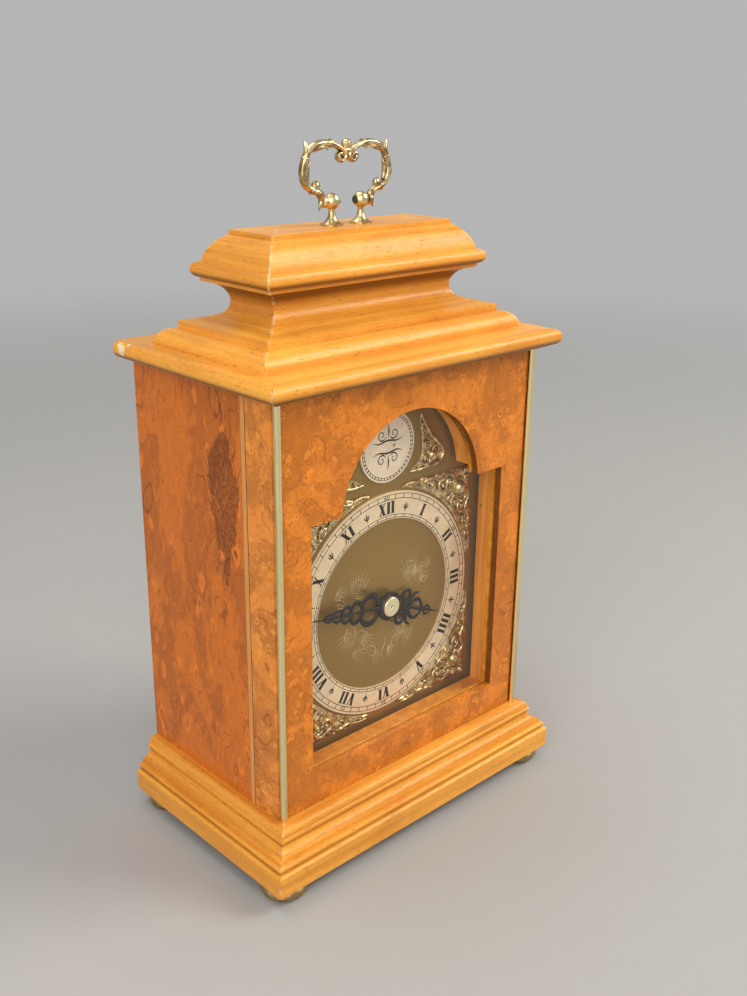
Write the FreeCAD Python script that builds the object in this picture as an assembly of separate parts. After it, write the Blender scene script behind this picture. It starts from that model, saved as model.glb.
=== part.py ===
import FreeCAD, Part
import math
import os

from FreeCAD import Vector

# A small wooden bracket clock: case on bun feet, caddy top with a carrying handle, glazed front
# door, break-arch dial and a rear-wound movement with a lever escapement.
# Millimetres. It stands on z = 0, faces -Y and is centred on x = 0.

# ------------------------------------------------------------------ driving dimensions: case
CASE_WIDTH = 140.0
CASE_DEPTH = 89.0
WALL = 8.0
FOOT_HEIGHT = 6.5
FOOT_DIAMETER = 19.0
FOOT_INSET = 0.5
FOOT_STUD_RADIUS = 1.5
FOOT_STUD_LENGTH = 6.0
BUN_SOLE_SHARE = 0.62
BUN_PROFILE = ((0.858, 0.117, 1.0, 0.42), (0.926, 0.711, 0.74, 0.86), (0.74, 1.0))
PLINTH_HEIGHT = 9.5
PLINTH_OUT = 11.0
PLINTH_RAIL = 20.0
PLINTH_CHAMFER = 0.8
LOWER_LIP = 0.6
LOWER_BEAD_OUT = 9.9
LOWER_BEAD_RADIUS = 1.1
COVE_FILLET = 1.4
COVE_FOOT_OUT = 8.0
COVE_TOP_OUT = 4.2
COVE_HEIGHT = 3.2
UPPER_BEAD_OUT = 4.8
UPPER_BEAD_RADIUS = 1.1
UPPER_LIP = 0.9
OVOLO_OUT = 4.0
OVOLO_HEIGHT = 2.6
OVOLO_TOP_OUT = 1.5
BASE_FILLET = 0.5
COVE_BOW = 0.35
OVOLO_BOW = 0.72
MOULDING_BACKING = 5.0
STILE_DEPTH = 14.5
STRING_WIDTH = 3.2
STRING_LINE = 0.7
STRING_DEPTH = 1.0
ROD_RADIUS = 1.45
ROD_INSET = 0.1
CORNICE_HEIGHT = 8.3
CORNICE_OUT = 6.8
CORNICE_FRONT_OUT = 7.4
CORNICE_BACK_OUT = 3.2
CORNICE_COVE_IN = 1.0
CORNICE_COVE_OUT = 3.1
CORNICE_COVE_HEIGHT = 0.9
CORNICE_FILLET = 0.6
CORNICE_BOW = 0.32
TOP_BOARD_MARGIN = 12.0

# ------------------------------------------------------------------ driving dimensions: caddy top
CADDY_Y = 2.4
CADDY_FOOT_WIDTH = 135.6
CADDY_FOOT_DEPTH = 68.9
CADDY_OVOLO_HEIGHT = 6.3
CADDY_OVOLO_IN = 5.9
CADDY_OVOLO_BOW = 0.7
CADDY_BOARD_IN = 7.1
CADDY_BOARD_HEIGHT = 2.9
NECK_HEIGHT = 16.5
NECK_IN = 21.4
NECK_TOP_IN = 13.4
NECK_FILLET = 1.3
NECK_FOOT = ((0.6, 0.0), (5.4, 0.06), (9.9, 0.16))
NECK_HOLLOW = ((1.25, 0.29), (0.0, 0.50), (1.1, 0.76), (4.4, 0.94))
TORUS_HEIGHT = 5.9
TORUS_OUT = 2.7
DOME_HEIGHT = 9.9
DOME_FOOT_IN = 13.8
DOME_TOP_IN = 21.1
DOME_BOW_IN = 2.45
DOME_BOW_SHARE = 0.56
CAP_HEIGHT = 1.9
CAP_IN = 21.5

# ------------------------------------------------------------------ driving dimensions: handle
HANDLE_FORWARD = 0.8
POST_SPACING = 15.0
POST_FLANGE_RADIUS = 4.5
POST_FLANGE_HEIGHT = 0.6
POST_NECK_RADIUS = 1.4
POST_NECK_HEIGHT = 5.9
POST_LIP_SHARE = 0.86
POST_HOLLOW = (0.44, 0.36)
POST_STUD_RADIUS = 1.2
POST_STUD_LENGTH = 10.0
BALL_RADIUS = 3.2
BALL_HEIGHT = 8.9
PIVOT_RADIUS = 0.8
PIVOT_HEAD_RADIUS = 1.5
PIVOT_HEAD_HEIGHT = 0.8
PIVOT_CLEARANCE = 0.05
BALL_SIDE_CLEARANCE = 0.3
EYE_RADIUS = 2.2
EYE_THICKNESS = 1.6
BAIL_HALF_WIDTH = 24.2
BAIL_RISE = 22.7
BAIL_ROD = 1.45
BAIL_KNOP_RADIUS = 1.95
BAIL_BEAD = 1.65
BAIL_FOOT = ((0.7, 1.0), (3.1, 3.4))
BAIL_ARM = ((3.8, 4.9), (1.0, 7.8), (0.4, 11.4), (1.5, 15.8), (3.5, 19.3))
BAIL_TOP = ((7.9, 0.0), (12.6, 0.4), (16.6, -0.3), (20.1, -2.2))
BAIL_HORN_OUT = 2.0
BAIL_HORN_RISE = 3.1
BAIL_SPIKE = 0.3
BAIL_BAR_HALF = 2.6
BAIL_BAR_DROP = 2.6
BAIL_VOLUTE_RADIUS = 1.9
BAIL_VOLUTE_LENGTH = 4.4
BAIL_VOLUTE_DROP = 1.4
BAIL_BULB_RADIUS = 2.1
BAIL_BULB_RISE = 1.5
BAIL_LEAF_OUT = 1.9
BAIL_LEAF_DROP = 3.4

# ------------------------------------------------------------------ driving dimensions: front door
DOOR_GAP = 0.7
DOOR_SLIT = 0.3
DOOR_RECESS = 2.0
DOOR_THICKNESS = 5.5
DOOR_REST_GAP = 0.3
DOOR_EDGE = 3.1
SIGHT_SIDE = 17.0
SIGHT_TOP = 14.3
SIGHT_RISE = 14.5
SIGHT_RING_GAP = 3.7
SIGHT_RING_UNDER = 2.7
SIGHT_ARCH_RADIUS = 37.9
SIGHT_ARCH_DROP = 3.1
GLASS_REBATE = 1.9
GLASS_THICKNESS = 1.2
GLASS_BEAD = 1.6
GLASS_BEAD_WIDTH = 1.5
HINGE_PIN_RADIUS = 0.7
HINGE_PIN_INSET = 1.2
HINGE_PIN_REACH = 3.0
HINGE_PIN_ROOT = 6.0

# ------------------------------------------------------------------ driving dimensions: dial
SURROUND_SET_BACK = 2.1
SURROUND_DEPTH = 8.2
DIAL_GAP = 1.9
DIAL_THICKNESS = 1.2
DIAL_MARGIN = 4.4
DIAL_SIDE_GAP = 4.6
DIAL_HOLE_RADIUS = 3.6
CHAPTER_OUTER = 49.3
CHAPTER_INNER = 37.6
CHAPTER_THICKNESS = 0.7
ARCH_DISC_RISE = 19.2
ARCH_DISC_RADIUS = 14.9
ARCH_DISC_THICKNESS = 0.8
ARCH_DISC_HOLE = 0.7
ARCH_DISC_HOLE_X = 3.6
SPANDREL_THICKNESS = 1.4
SPANDREL_RING_GAP = 1.1
SPANDREL_RING_REACH = 2.4
SPANDREL_TIP = 8.5
SPANDREL_LOBES = ((0.329, 0.0, 0.503, -0.4), (0.619, -2.2, 0.735, -0.3), (0.899, 0.2, 0.988, -0.6))
SPANDREL_BOSS = (0.851, 0.803)
SPANDREL_BOSS_RADIUS = 3.5
ARCH_LEAF_START = (11.6, 5.7)
ARCH_LEAF_LOBES = ((17.0, 3.9, 22.0, 4.7), (27.0, 3.8, 31.5, 4.9), (34.6, 7.5, 33.9, 11.6),
                   (32.5, 15.0, 28.8, 17.2), (25.8, 21.6, 23.0, 24.4), (21.3, 28.6, 18.0, 30.6),
                   (19.6, 22.0, 18.7, 14.0), (16.6, 8.9, 11.6, 5.7))
ARCH_BOSS = (26.3, 10.3)
ARCH_BOSS_RADIUS = 3.0
DIAL_FOOT_RADIUS = 1.6
DIAL_FOOT_X = 26.0
DIAL_FOOT_LOW = 40.0
DIAL_FOOT_HIGH = 28.5
DIAL_FOOT_PIN = 0.9

# ------------------------------------------------------------------ driving dimensions: hands
HOUR_ANGLE = 112.5
MINUTE_ANGLE = 278.5
HOUR_LENGTH = 34.5
MINUTE_LENGTH = 46.0
HOUR_HUB_RADIUS = 5.2
MINUTE_HUB_RADIUS = 6.4
HAND_THICKNESS = 0.6
HOUR_HAND_HEIGHT = 2.2
MINUTE_HAND_HEIGHT = 3.5
HAND_ROOT_HALF = 0.9
HAND_NECK_HALF = 0.75
HAND_TIP_HALF = 0.12
HAND_NECK_SHARE = 0.8
EYE_SPREAD = 0.82
EYE_HOLE_SHARE = 0.52
HOUR_EYES = ((8.6, 3.6), (14.6, 4.4), (20.4, 3.0), (25.6, 1.5))
MINUTE_EYES = ((10.2, 3.4), (17.0, 3.6), (23.6, 2.8), (29.0, 2.0), (33.4, 1.3))
NUT_RADIUS = 4.3
NUT_THICKNESS = 1.6
NUT_ROUNDING = 0.5
NUT_COVER = 0.5

# ------------------------------------------------------------------ driving dimensions: movement
MOTION_SPACE = 8.5
PLATE_THICKNESS = 1.5
PLATE_GAP = 23.5
PLATE_HALF_WIDTH = 32.0
PLATE_BELOW = 54.0
PLATE_ABOVE = 38.0
PLATE_CORNER = 3.0
PILLAR_RADIUS = 2.5
PILLAR_STUD_RADIUS = 1.5
PILLAR_X = 28.0
PILLAR_LOW = 50.0
PILLAR_HIGH = 34.0
NUT_ACROSS = 5.2
NUT_HEIGHT = 1.2
STUD_PROUD = 1.6
SEAT_RISE = 4.5
SEAT_FRONT_MARGIN = 3.0
SEAT_BACK_MARGIN = 6.0
BOLT_HEAD_RADIUS = 3.0
BOLT_HEAD_HEIGHT = 2.0
RUNNING = 0.05
END_SHAKE = 0.2
ARBOR_RADIUS = 0.9
PIVOT_SIZE = 0.5
INTERMEDIATE_ARBOR = 1.2
INTERMEDIATE_PIVOT = 0.8
FOURTH_ARBOR = 0.7
CENTRE_ARBOR_RADIUS = 1.0
CENTRE_PIPE = 1.6
CANNON_PIPE = 2.2
CANNON_OVERLAP = 1.0
HOUR_PIPE = 3.0
HOUR_SEAT_STEP = 0.3
HAND_SEAT = 1.6
NUT_THREAD = 1.0
MINUTE_STUD = 1.0
MINUTE_STUD_PAST = 0.8
MINUTE_PINION_PAST = 0.4
ESCAPE_ARBOR = 0.5
ESCAPE_ARBOR_ROOM = 0.4
FINE_PIVOT = 0.3

# Tooth forms: addendum and dedendum in modules, then the share of the pitch at root and at tip.
WHEEL_FORM = (0.9, 1.2, 0.50, 0.16)
PINION_FORM = (0.7, 1.3, 0.38, 0.20)

# Where each wheel runs: from the front plate's back, before its front, or behind the back plate.
GREAT_FRONT = 5.5
INTERMEDIATE_LEVEL = 2.0
CENTRE_LEVEL = 10.0
THIRD_LEVEL = 14.5
FOURTH_LEVEL = 18.5
MINUTE_LEVEL = 3.5
HOUR_LEVEL = 6.6
ESCAPE_LEVEL = 2.5
LEVER_COCK_LEVEL = 4.1
BALANCE_LEVEL = 6.0
HAIRSPRING_LEVEL = 8.3
BALANCE_COCK_LEVEL = 10.5
WHEEL_THICKNESS = 1.0
PINION_MARGIN = 0.9
ESCAPE_THICKNESS = 0.6
SPOKE_SHARE = 0.16
RIM_MODULES = 3.2
HUB_SHARE = 0.24
SPOKES = 5

# Trains: (teeth, module) of each wheel and pinion, and the layout of the arbors in the plates.
GREAT_TEETH, GREAT_MODULE = 72, 0.55
INTERMEDIATE_LEAVES = 12
INTERMEDIATE_TEETH, INTERMEDIATE_MODULE = 60, 0.45
CENTRE_LEAVES = 10
CENTRE_TEETH, CENTRE_MODULE = 64, 0.4
THIRD_LEAVES = 8
THIRD_TEETH, THIRD_MODULE = 60, 0.35
FOURTH_LEAVES = 8
FOURTH_TEETH, FOURTH_MODULE = 60, 0.3
ESCAPE_LEAVES = 6
CANNON_LEAVES, CANNON_MODULE = 12, 0.5
MINUTE_TEETH = 36
MINUTE_LEAVES, HOUR_MODULE = 10, 0.48
HOUR_TEETH = 40
RATCHET_TEETH = 24
ESCAPE_TEETH = 15

BARREL_X = -8.0
BARREL_DROP = 32.0
THIRD_BEARING = 60.0
FOURTH_BEARING = 130.0
ESCAPE_BEARING = 150.0
MINUTE_BEARING = -60.0
BARREL_RADIUS = 18.0
BARREL_WALL = 1.2
GREAT_THICKNESS = 2.0
BARREL_LENGTH = 15.0
BARREL_CORE = 4.0
BARREL_PIVOT = 1.5
SPRING_STRIP = 0.6
SPRING_TURNS = 9
RATCHET_RADIUS = 9.0
RATCHET_DEPTH = 1.3
RATCHET_THICKNESS = 1.5
RATCHET_GAP = 0.4
RATCHET_LEAN = 0.5
KEY_SQUARE = 2.2
KEY_SLEEVE = 3.2
KEY_START = 3.4
KEY_LENGTH = 12.0
KEY_WING = 9.0
KEY_WING_THICKNESS = 1.6
SET_KNOB_RADIUS = 5.5
SET_KNOB_LENGTH = 6.0
SET_KNOB_START = 12.5
SET_KNOB_RIBS = 24
RIB_RADIUS = 0.5
RIB_OUT = 0.2
RIB_START = 1.0
CLICK_PIVOT_RADIUS = 1.0
CLICK_BOSS_RADIUS = 2.2
CLICK_REACH = 14.0
CLICK_BEARING = 55.0
CLICK_ARM = 11.2
CLICK_FACE = ((0.28, 1.4), (0.7, 5.5))
CLICK_INNER = ((-1.5, 8.0), (-0.6, 10.0))
CLICK_OUTER = ((0.9, 3.0), (-0.4, 1.4))
CLICK_WAIST_IN = 0.6
CLICK_SPRING_ROOT = (5.0, 30.0)
CLICK_SPRING_TIP = (0.92, 4.0)
ESCAPE_RADIUS = 4.5
ESCAPE_TOOTH = ((-1.1, -5.0), (0.0, 1.0), (-0.2, 5.0), (-1.1, 3.0))
LEVER_SPAN = 6.0
LEVER_TO_BALANCE = 8.0
PALLET_RADIUS = 5.2
PALLET_HALF_ANGLE = 30.0
PALLET_OVERRUN = 0.5
LEVER_HALF = 0.3
LEVER_ARBOR = 0.5
LEVER_BOSS = 0.9
FORK_BACK = 2.7
FORK_THICKNESS = 0.4
FORK_HALF = 1.0
PRONG_LENGTH = 1.3
PRONG_OFFSET = 0.75
PRONG_HALF = 0.3
BANKING_X = 3.2
BANKING_OFFSET = 1.0
BANKING_PIN = 0.25
BALANCE_RADIUS = 8.0
BALANCE_RIM = 1.1
BALANCE_THICKNESS = 1.4
BALANCE_HUB = 1.4
BALANCE_STAFF = 0.5
BALANCE_ARM_HALF = 0.6
BALANCE_SCREWS = 12
BALANCE_SCREW_RADIUS = 0.55
BALANCE_SCREW_SINK = 0.3
ROLLER_RADIUS = 2.1
ROLLER_BELOW = 0.6
ROLLER_ABOVE = 0.2
IMPULSE_OFFSET = 1.7
IMPULSE_PIN = 0.25
IMPULSE_GAP = 0.15
HAIRSPRING_STRIP = 0.14
HAIRSPRING_TURNS = 6
HAIRSPRING_INNER = 0.6
HAIRSPRING_OUTER = 5.2
HAIRSPRING_DEPTH = 0.5
HAIRSPRING_STUD = 0.35
COCK_THICKNESS = 1.2
COCK_WIDTH = 5.0
LEVER_COCK_FOOT = (-4.4, -0.6)
LEVER_COCK_PAST = 1.4
BALANCE_COCK_FOOT = (3.0, 7.0)
BALANCE_COCK_PAST = 2.5

# ------------------------------------------------------------------ driving dimensions: rear door
REAR_DOOR_THICKNESS = 6.0
REAR_DOOR_SIDE_GAP = 0.3
REAR_KNUCKLE_RADIUS = 1.1
REAR_PIN_RADIUS = 0.5
REAR_LEAF_THICKNESS = 0.5
REAR_LEAF_WIDTH = 6.0
REAR_LEAF_HEIGHT = 18.0
REAR_LEAF_GAP = 0.2
REAR_HINGE_RISE = 25.0
LATCH_EDGE = 9.7
LATCH_KNOB_RADIUS = 5.5
LATCH_KNOB_HEIGHT = 1.4
LATCH_GRIP_HEIGHT = 1.4
LATCH_GRIP_WIDTH = 2.0
LATCH_GRIP_SHORT = 0.8
LATCH_SPINDLE = 1.5
LATCH_TONGUE = 11.5
LATCH_TONGUE_THICKNESS = 1.6
LATCH_POCKET_DEPTH = 2.6
LATCH_POCKET_BELOW = 2.5
LATCH_POCKET_ABOVE = 9.0
LATCH_GAP = 0.15

# ------------------------------------------------------------------ places worked out from these
CASE_HALF = CASE_WIDTH / 2
CASE_FRONT = (PLINTH_OUT - CASE_DEPTH - CORNICE_BACK_OUT) / 2
CASE_BACK = CASE_FRONT + CASE_DEPTH
INNER_HALF = CASE_HALF - WALL
Z_PLINTH = FOOT_HEIGHT
Z_LOWER = Z_PLINTH + PLINTH_HEIGHT
Z_COVE = Z_LOWER + LOWER_LIP + 2 * LOWER_BEAD_RADIUS + COVE_FILLET
Z_UPPER = Z_COVE + COVE_HEIGHT
Z_CASE = Z_UPPER + UPPER_LIP + 2 * UPPER_BEAD_RADIUS + BASE_FILLET + OVOLO_HEIGHT
# The chapter ring sets the opening, the opening and the wood round it set the face, and the whole
# face is then drawn to the case's width, which gives the case its height.
FACE_HALF = CHAPTER_OUTER + SIGHT_RING_GAP
DIAL_RISE = CHAPTER_OUTER + SIGHT_RING_UNDER
FACE = CASE_WIDTH / (2 * (FACE_HALF + SIGHT_SIDE))
FACE_ARCH = FACE_HALF - SIGHT_ARCH_DROP + SIGHT_ARCH_RADIUS
CASE_HEIGHT = FACE * (SIGHT_RISE + DIAL_RISE + FACE_ARCH + SIGHT_TOP)
Z_CORNICE = Z_CASE + CASE_HEIGHT
Z_CADDY = Z_CORNICE + CORNICE_HEIGHT
Z_NECK = Z_CADDY + CADDY_OVOLO_HEIGHT + CADDY_BOARD_HEIGHT
Z_TORUS = Z_NECK + NECK_HEIGHT
Z_DOME = Z_TORUS + TORUS_HEIGHT
Z_CAP = Z_DOME + DOME_HEIGHT
Z_TOP = Z_CAP + CAP_HEIGHT
Z_BALL = Z_TOP + BALL_HEIGHT

STILE_FRONT = CASE_FRONT + ROD_INSET + 2 * ROD_RADIUS
STILE_BACK = STILE_FRONT + STILE_DEPTH
DOOR_FRONT = CASE_FRONT + DOOR_RECESS
DOOR_BACK = DOOR_FRONT + DOOR_THICKNESS
DOOR_HALF = CASE_HALF - DOOR_EDGE - DOOR_GAP
SURROUND_FRONT = DOOR_BACK + DOOR_REST_GAP
SURROUND_BACK = SURROUND_FRONT + SURROUND_DEPTH
DIAL_FRONT = SURROUND_BACK + DIAL_GAP
DIAL_BACK = DIAL_FRONT + DIAL_THICKNESS
PLATE_FRONT = DIAL_BACK + MOTION_SPACE
INSIDE_FRONT = PLATE_FRONT + PLATE_THICKNESS
INSIDE_BACK = INSIDE_FRONT + PLATE_GAP
PLATE_BACK = INSIDE_BACK + PLATE_THICKNESS
HOUR_HAND_BACK = DIAL_FRONT - HOUR_HAND_HEIGHT + HAND_THICKNESS
MINUTE_HAND_BACK = DIAL_FRONT - MINUTE_HAND_HEIGHT + HAND_THICKNESS
HOUR_SEAT = HOUR_PIPE - HOUR_SEAT_STEP
HANDLE_Y = CADDY_Y - HANDLE_FORWARD
REAR_DOOR_FRONT = CASE_BACK - REAR_DOOR_THICKNESS
HINGE_PIN = (DOOR_HALF - HINGE_PIN_INSET, DOOR_FRONT + HINGE_PIN_INSET)
REAR_AXIS = (REAR_DOOR_SIDE_GAP / 2 - INNER_HALF, CASE_BACK + REAR_KNUCKLE_RADIUS + RUNNING)
LATCH_X = INNER_HALF - REAR_DOOR_SIDE_GAP - LATCH_EDGE
LATCH_Z = (Z_CASE + Z_CORNICE) / 2
FAR = 4 * CASE_WIDTH

SIGHT_HALF = FACE * FACE_HALF
SIGHT_LOW = Z_CASE + FACE * SIGHT_RISE
SIGHT_SHOULDER = SIGHT_LOW + FACE * (DIAL_RISE + FACE_HALF)
ARCH_Z = SIGHT_SHOULDER - FACE * SIGHT_ARCH_DROP
ARCH_RADIUS = FACE * SIGHT_ARCH_RADIUS
DIAL_Z = SIGHT_LOW + FACE * DIAL_RISE
DIAL_HALF = INNER_HALF - DIAL_SIDE_GAP
ARCH_DISC_Z = ARCH_Z + FACE * ARCH_DISC_RISE
SEAT_TOP = DIAL_Z - PLATE_BELOW
SEAT_UNDER = Z_CASE + SEAT_RISE


def polar(radius, degrees, about=(0.0, 0.0)):
    """Point in the x, z plane at a radius and a bearing counted from +X towards +Z."""
    turn = math.radians(degrees)
    return about[0] + radius * math.cos(turn), about[1] + radius * math.sin(turn)


def apart(wheel_teeth, leaves, module):
    """Distance between the arbors of a wheel and a pinion in mesh."""
    return (wheel_teeth + leaves) * module / 2


CENTRE = (0.0, DIAL_Z)
BARREL = (BARREL_X, DIAL_Z - BARREL_DROP)


def intermediate_place():
    """Arbor in mesh with both the great wheel and the centre pinion, to the left of them."""
    to_centre = apart(INTERMEDIATE_TEETH, CENTRE_LEAVES, INTERMEDIATE_MODULE)
    to_barrel = apart(GREAT_TEETH, INTERMEDIATE_LEAVES, GREAT_MODULE)
    dx, dz = BARREL[0] - CENTRE[0], BARREL[1] - CENTRE[1]
    between = math.hypot(dx, dz)
    along = (to_centre ** 2 - to_barrel ** 2 + between ** 2) / (2 * between)
    aside = math.sqrt(to_centre ** 2 - along ** 2)
    ux, uz = dx / between, dz / between
    return CENTRE[0] + along * ux + aside * uz, CENTRE[1] + along * uz - aside * ux


INTERMEDIATE = intermediate_place()
THIRD = polar(apart(CENTRE_TEETH, THIRD_LEAVES, CENTRE_MODULE), THIRD_BEARING, CENTRE)
FOURTH = polar(apart(THIRD_TEETH, FOURTH_LEAVES, THIRD_MODULE), FOURTH_BEARING, THIRD)
ESCAPE = polar(apart(FOURTH_TEETH, ESCAPE_LEAVES, FOURTH_MODULE), ESCAPE_BEARING, FOURTH)
MINUTE = polar(apart(MINUTE_TEETH, CANNON_LEAVES, CANNON_MODULE), MINUTE_BEARING, CENTRE)
LEVER = (ESCAPE[0] + LEVER_SPAN, ESCAPE[1])
BALANCE = (LEVER[0] + LEVER_TO_BALANCE, LEVER[1])
CLICK = polar(CLICK_REACH, CLICK_BEARING, BARREL)

# Levels along y inside the movement.
GREAT_Y = INSIDE_FRONT + GREAT_FRONT
INTERMEDIATE_Y = INSIDE_FRONT + INTERMEDIATE_LEVEL
CENTRE_Y = INSIDE_FRONT + CENTRE_LEVEL
THIRD_Y = INSIDE_FRONT + THIRD_LEVEL
FOURTH_Y = INSIDE_FRONT + FOURTH_LEVEL
MINUTE_Y = PLATE_FRONT - MINUTE_LEVEL
HOUR_Y = PLATE_FRONT - HOUR_LEVEL
ESCAPE_Y = PLATE_BACK + ESCAPE_LEVEL
LEVER_COCK_Y = PLATE_BACK + LEVER_COCK_LEVEL
BALANCE_Y = PLATE_BACK + BALANCE_LEVEL
HAIRSPRING_Y = PLATE_BACK + HAIRSPRING_LEVEL
BALANCE_COCK_Y = PLATE_BACK + BALANCE_COCK_LEVEL


# ------------------------------------------------------------------ shape helpers
def box(x, y, z):
    """Box from three (low, high) pairs."""
    return Part.makeBox(x[1] - x[0], y[1] - y[0], z[1] - z[0], Vector(x[0], y[0], z[0]))


def rod_x(x, y, z, radius):
    """Round bar along X between the two ends in x."""
    return Part.makeCylinder(radius, x[1] - x[0], Vector(x[0], y, z), Vector(1, 0, 0))


def rod_y(place, y, radius):
    """Round bar along Y at a place in the x, z plane."""
    return Part.makeCylinder(radius, y[1] - y[0], Vector(place[0], y[0], place[1]), Vector(0, 1, 0))


def rod_z(x, y, z, radius):
    """Upright round bar between the two heights in z."""
    return Part.makeCylinder(radius, z[1] - z[0], Vector(x, y, z[0]))


def ball(x, y, z, radius):
    """Sphere about a point."""
    return Part.makeSphere(radius, Vector(x, y, z))


def ring_y(place, y, outer, inner):
    """Washer along Y."""
    return rod_y(place, y, outer).cut(rod_y(place, y, inner))


def joined(shapes):
    """One solid from overlapping or touching ones."""
    whole = shapes[0]
    for shape in shapes[1:]:
        whole = whole.fuse(shape)
    return whole.removeSplitter()


def drilled(shape, tools):
    """The shape with each tool cut out of it."""
    for tool in tools:
        shape = shape.cut(tool)
    return shape


def draw(start, steps, place):
    """Edges through the steps: (u, v) ends a line, (mu, mv, u, v) an arc through (mu, mv)."""
    edges, here = [], place(*start)
    for step in steps:
        end = place(*step[-2:])
        if len(step) == 4:
            edges.append(Part.Arc(here, place(*step[:2]), end).toShape())
        else:
            edges.append(Part.makeLine(here, end))
        here = end
    return edges


def face_of(edges):
    """Flat face inside a closed loop of edges given in any order."""
    return Part.Face(Part.Wire(Part.sortEdges(edges)[0]))


def plate_y(start, steps, y):
    """Flat piece whose outline in x, z is drawn by start and steps, between two values of y."""
    face = face_of(draw(start, steps + [start], lambda u, v: Vector(u, y[0], v)))
    return face.extrude(Vector(0, y[1] - y[0], 0))


def polygon_y(points, y):
    """Flat piece with straight sides."""
    return plate_y(points[0], list(points[1:]), y)


def turned_z(start, steps, x, y):
    """Turned piece: a profile of (radius, height) steps spun about an upright axis."""
    low, high = start[1], steps[-1][-1]
    loop = steps + [(0.0, high), (0.0, low), start]
    loop = loop if start[0] > 0 else steps + [(0.0, high), start]
    face = face_of(draw(start, loop, lambda u, v: Vector(x + u, y, v)))
    return face.revolve(Vector(x, y, 0), Vector(0, 0, 1), 360)


def moulded_block(start, steps, half, front, back, scales=(1.0, 1.0, 1.0)):
    """Block whose rectangle grows with height by the profile, mitred at the corners.

    The profile is (projection, height). Scales multiply the projection at the sides, the front
    and the back, so a back with 0 stays flat.
    """
    low, high = start[1], steps[-1][-1]
    side, ahead, behind = scales
    right = draw(start, steps, lambda p, z: Vector(half + side * p, -FAR, z))
    left = draw(start, steps, lambda p, z: Vector(-half - side * p, -FAR, z))
    width = half + side * start[0], half + side * steps[-1][-2]
    caps = [Part.makeLine(Vector(-w, -FAR, z), Vector(w, -FAR, z)) for w, z in zip(width, (low, high))]
    across = face_of(right + left + caps).extrude(Vector(0, 2 * FAR, 0))
    fore = draw(start, steps, lambda p, z: Vector(-FAR, front - ahead * p, z))
    if behind:
        aft = draw(start, steps, lambda p, z: Vector(-FAR, back + behind * p, z))
    else:
        aft = [Part.makeLine(Vector(-FAR, back, low), Vector(-FAR, back, high))]
    ends = [(front - ahead * start[0], back + behind * start[0], low),
            (front - ahead * steps[-1][-2], back + behind * steps[-1][-2], high)]
    caps = [Part.makeLine(Vector(-FAR, a, z), Vector(-FAR, b, z)) for a, b, z in ends]
    along = face_of(fore + aft + caps).extrude(Vector(2 * FAR, 0, 0))
    return across.common(along)


def arched(extra, y, half=None):
    """The door's break-arch opening, grown all round by extra, as a solid between two y. Its half
    width is the opening's unless another is given."""
    half = half or SIGHT_HALF + extra
    shoulder = SIGHT_SHOULDER + extra
    radius = ARCH_RADIUS + extra
    spring = math.sqrt(radius ** 2 - (shoulder - ARCH_Z) ** 2)
    steps = [(half, SIGHT_LOW - extra), (half, shoulder), (spring, shoulder),
             (0.0, ARCH_Z + radius, -spring, shoulder), (-half, shoulder)]
    return plate_y((-half, SIGHT_LOW - extra), steps, y)


def spiral_y(place, y, inner, outer, turns, strip):
    """Flat wound strip of constant thickness, drawn with half-turn arcs."""
    def run(extra):
        edges = []
        grow = (outer - inner) / (2 * turns)

        def at(half_turns):
            spot = polar(inner + extra + grow * half_turns, 180 * half_turns, place)
            return Vector(spot[0], y[0], spot[1])
        for half_turn in range(2 * turns):
            edges.append(Part.Arc(at(half_turn), at(half_turn + 0.5), at(half_turn + 1)).toShape())
        return edges, at(0), at(2 * turns)
    near, near_start, near_end = run(0.0)
    far, far_start, far_end = run(strip)
    ends = [Part.makeLine(near_start, far_start), Part.makeLine(near_end, far_end)]
    return face_of(near + far + ends).extrude(Vector(0, y[1] - y[0], 0))


# ------------------------------------------------------------------ wheels and pinions
def toothed(place, y, teeth, module, bearing, form):
    """Toothed disc with a tooth centred on the bearing. form: addendum, dedendum in modules,
    then the tooth's share of the pitch at its root and at its tip."""
    addendum, dedendum, root_share, tip_share = form
    pitch = 360.0 / teeth
    root = teeth * module / 2 - dedendum * module
    tip = teeth * module / 2 + addendum * module
    points = []
    for tooth in range(teeth):
        middle = bearing + tooth * pitch
        points.append(polar(root, middle - root_share * pitch / 2, place))
        points.append(polar(tip, middle - tip_share * pitch / 2, place))
        points.append(polar(tip, middle + tip_share * pitch / 2, place))
        points.append(polar(root, middle + root_share * pitch / 2, place))
    return polygon_y(points, y)


def wheel(place, y, teeth, module, bearing):
    """Wheel crossed out to a rim, a hub and spokes."""
    disc = toothed(place, y, teeth, module, bearing, WHEEL_FORM)
    radius = teeth * module / 2
    rim, hub = radius - RIM_MODULES * module, HUB_SHARE * radius
    hollow = ring_y(place, y, rim, hub)
    half = SPOKE_SHARE * radius / 2
    for spoke in range(SPOKES):
        bar = box((0, radius), y, (-half, half))
        bar.rotate(Vector(0, 0, 0), Vector(0, 1, 0), spoke * 360.0 / SPOKES)
        bar.translate(Vector(place[0], 0, place[1]))
        hollow = hollow.cut(bar)
    return disc.cut(hollow)


def pinion(place, y, leaves, module, bearing):
    """Small toothed pinion with a gap centred on the bearing."""
    return toothed(place, y, leaves, module, bearing + 180.0 / leaves, PINION_FORM)


def bearing_to(here, there):
    """Bearing from one place in the x, z plane to another, in degrees."""
    return math.degrees(math.atan2(there[1] - here[1], there[0] - here[0]))


def span(middle, thickness, margin=0.0):
    """The (low, high) pair of a wheel that starts at middle, widened by a margin."""
    return middle - margin, middle + thickness + margin


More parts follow.
